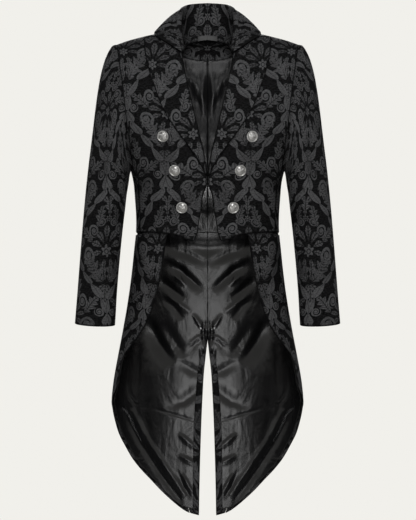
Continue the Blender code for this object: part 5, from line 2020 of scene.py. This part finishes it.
@dataclass(frozen=True)
class Tape:
    """Plain black woven tape."""

    colour: tuple[float, float, float] = (0.008, 0.008, 0.008)

    def make(self, weave: bpy.types.NodeTree) -> bpy.types.Material:
        """Make the material.

        Args:
            weave: Group of the threads.

        Returns:
            The material.
        """
        graph, shader = new_finish("label_tape")
        lay = graph.add("UVMap", uv_map="lay").outputs[0]
        threads = graph.call(weave, {"Lay": lay})
        light = tuple(c * 2.4 for c in self.colour)
        graph.feed(shader.inputs["Base Color"], graph.blend(
            threads["Thread"], (*self.colour, 1.0), (*light, 1.0)))
        graph.feed(shader.inputs["Roughness"], graph.scaled(threads["Speckle"], 0.2, 0.42))
        bump = graph.add("Bump", {"Height": threads["Thread"], "Strength": 0.4,
                                  "Distance": 0.0003})
        graph.feed(shader.inputs["Normal"], bump.outputs[0])
        return bpy.data.materials["label_tape"]


@dataclass(frozen=True)
class Lamp:
    """A soft square light.

    Attributes:
        name: Its name.
        place: Where it stands.
        aim: What it points at.
        size: Its width and height.
        power: Its power in watts.
    """

    name: str
    place: tuple[float, float, float]
    aim: tuple[float, float, float]
    size: tuple[float, float]
    power: float

    def build(self) -> None:
        """Make the light, unseen by the camera itself."""
        data = bpy.data.lights.new(self.name, "AREA")
        data.shape = "RECTANGLE"
        data.size, data.size_y = self.size
        data.energy = self.power
        lamp = put_in_scene(self.name, data)
        lamp.location = self.place
        lamp.rotation_mode = "QUATERNION"
        lamp.rotation_quaternion = (lamp.location * -1 + type(lamp.location)(self.aim)
                                    ).to_track_quat("-Z", "Y")
        lamp.visible_camera = False


@dataclass(frozen=True)
class Studio:
    """The pale floor and surroundings, the lights and the camera."""

    floor_z: float = -1.26
    floor_radius: float = 2.0
    floor_sides: int = 96
    pale: tuple[float, float, float, float] = (0.88, 0.87, 0.83, 1.0)
    paper: tuple[float, float, float, float] = (0.64, 0.63, 0.605, 1.0)
    fill: float = 0.035
    camera_distance: float = 40.0
    camera_reach: float = 100.0
    camera_aim: tuple[float, float] = (0.0010, -0.5106)
    frame_height: float = 1.196
    sensor: float = 36.0
    lamps: tuple[Lamp, ...] = (
        Lamp("key", (0.0, -2.4, 0.90), (0.0, 0.0, -0.45), (0.9, 0.8), 51.0),
        Lamp("wide", (0.0, -2.2, 1.20), (0.0, 0.0, -0.45), (2.4, 1.5), 8.0),
        Lamp("low", (0.0, -2.6, -0.80), (0.0, 0.0, -0.70), (0.8, 0.5), 6.0),
        Lamp("floor_strip", (0.0, -2.2, -1.15), (0.0, 0.0, -0.70), (1.6, 0.16), 4.0),
        Lamp("top", (0.0, -0.7, 1.8), (0.0, 0.0, -0.3), (1.2, 1.0), 5.0),
        Lamp("left_side", (2.6, 0.7, 0.3), (0.0, 0.0, -0.5), (0.8, 1.6), 20.0),
        Lamp("right_side", (-2.6, 0.7, 0.3), (0.0, 0.0, -0.5), (0.8, 1.6), 20.0),
        Lamp("behind", (0.0, 2.8, 0.5), (0.0, 0.0, -0.5), (1.8, 1.8), 42.0),
    )

    def build(self) -> None:
        """Make the studio."""
        turn = even(self.floor_sides)[:-1] * 2 * math.pi
        rim = [(self.floor_radius * math.cos(a), self.floor_radius * math.sin(a), self.floor_z)
               for a in turn]
        mesh = bpy.data.meshes.new("floor")
        mesh.from_pydata(rim, [], [tuple(range(len(rim)))])
        graph, shader = new_finish("floor_paper")
        place = graph.add("TexCoord").outputs["Object"]
        grain = graph.add("TexNoise", {"Vector": place, "Scale": 60.0}).outputs[0]
        duller = tuple(c * 0.97 for c in self.paper[:3]) + (1.0,)
        graph.feed(shader.inputs["Base Color"], graph.blend(grain, duller, self.paper))
        shader.inputs["Roughness"].default_value = 0.9
        mesh.materials.append(bpy.data.materials["floor_paper"])
        floor = put_in_scene("floor", mesh)
        self.surround()
        for lamp in self.lamps:
            lamp.build()
        self.place_camera()

    def surround(self) -> None:
        """Pale surroundings, dimmer as light than to the eye."""
        world = bpy.data.worlds.new("studio")
        bpy.context.scene.world = world
        world.use_nodes = True
        graph = Graph(world.node_tree)
        seen = world.node_tree.nodes["Background"]
        seen.inputs["Color"].default_value = self.pale
        lit = graph.add("Background", {"Color": (1.0, 1.0, 1.0, 1.0), "Strength": self.fill})
        path = graph.add("LightPath")
        mix = graph.add("MixShader", {0: path.outputs["Is Camera Ray"], 1: lit.outputs[0],
                                      2: seen.outputs[0]})
        graph.feed(world.node_tree.nodes["World Output"].inputs["Surface"], mix.outputs[0])
        bpy.context.scene.view_settings.view_transform = "Standard"

    def place_camera(self) -> None:
        """A long lens, level with the coat's middle."""
        data = bpy.data.cameras.new("camera")
        data.sensor_width = self.sensor
        data.lens = self.sensor * self.camera_distance / self.frame_height
        data.clip_end = self.camera_reach
        camera = put_in_scene("camera", data)
        camera.location = (self.camera_aim[0], -self.camera_distance, self.camera_aim[1])
        camera.rotation_euler = (math.pi / 2, 0.0, 0.0)
        bpy.context.scene.camera = camera


def main() -> None:
    """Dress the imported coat, piece by piece, and set up the studio."""
    logging.basicConfig(level=logging.INFO, format="%(message)s")
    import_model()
    weave = Weave().group()
    figured = FiguredCloth().make(Damask().group(), weave)
    satin = Satin().make(weave)
    tape = Tape().make(weave)
    form = BodyForm()
    body = Body(form)
    sleeves = Sleeves()
    sleeve = sleeves.outline(body.outlines(), body.yoke_rows)
    sleeve_normals = body.prepare(sleeve)
    body.build(figured, satin)
    LOG.info("body made")
    sleeves.build(sleeve, sleeve_normals, figured, satin)
    LOG.info("sleeves made")
    Lapels(form, body).build(figured)
    Collar(form).build(figured, tape)
    LOG.info("lapels and collar made")
    Linings(body).build(figured, satin)
    LOG.info("linings made")
    Buttons(form, body).build(OldSilver().make())
    LOG.info("buttons made")
    Studio().build()


if __name__ == "__main__":
    main()
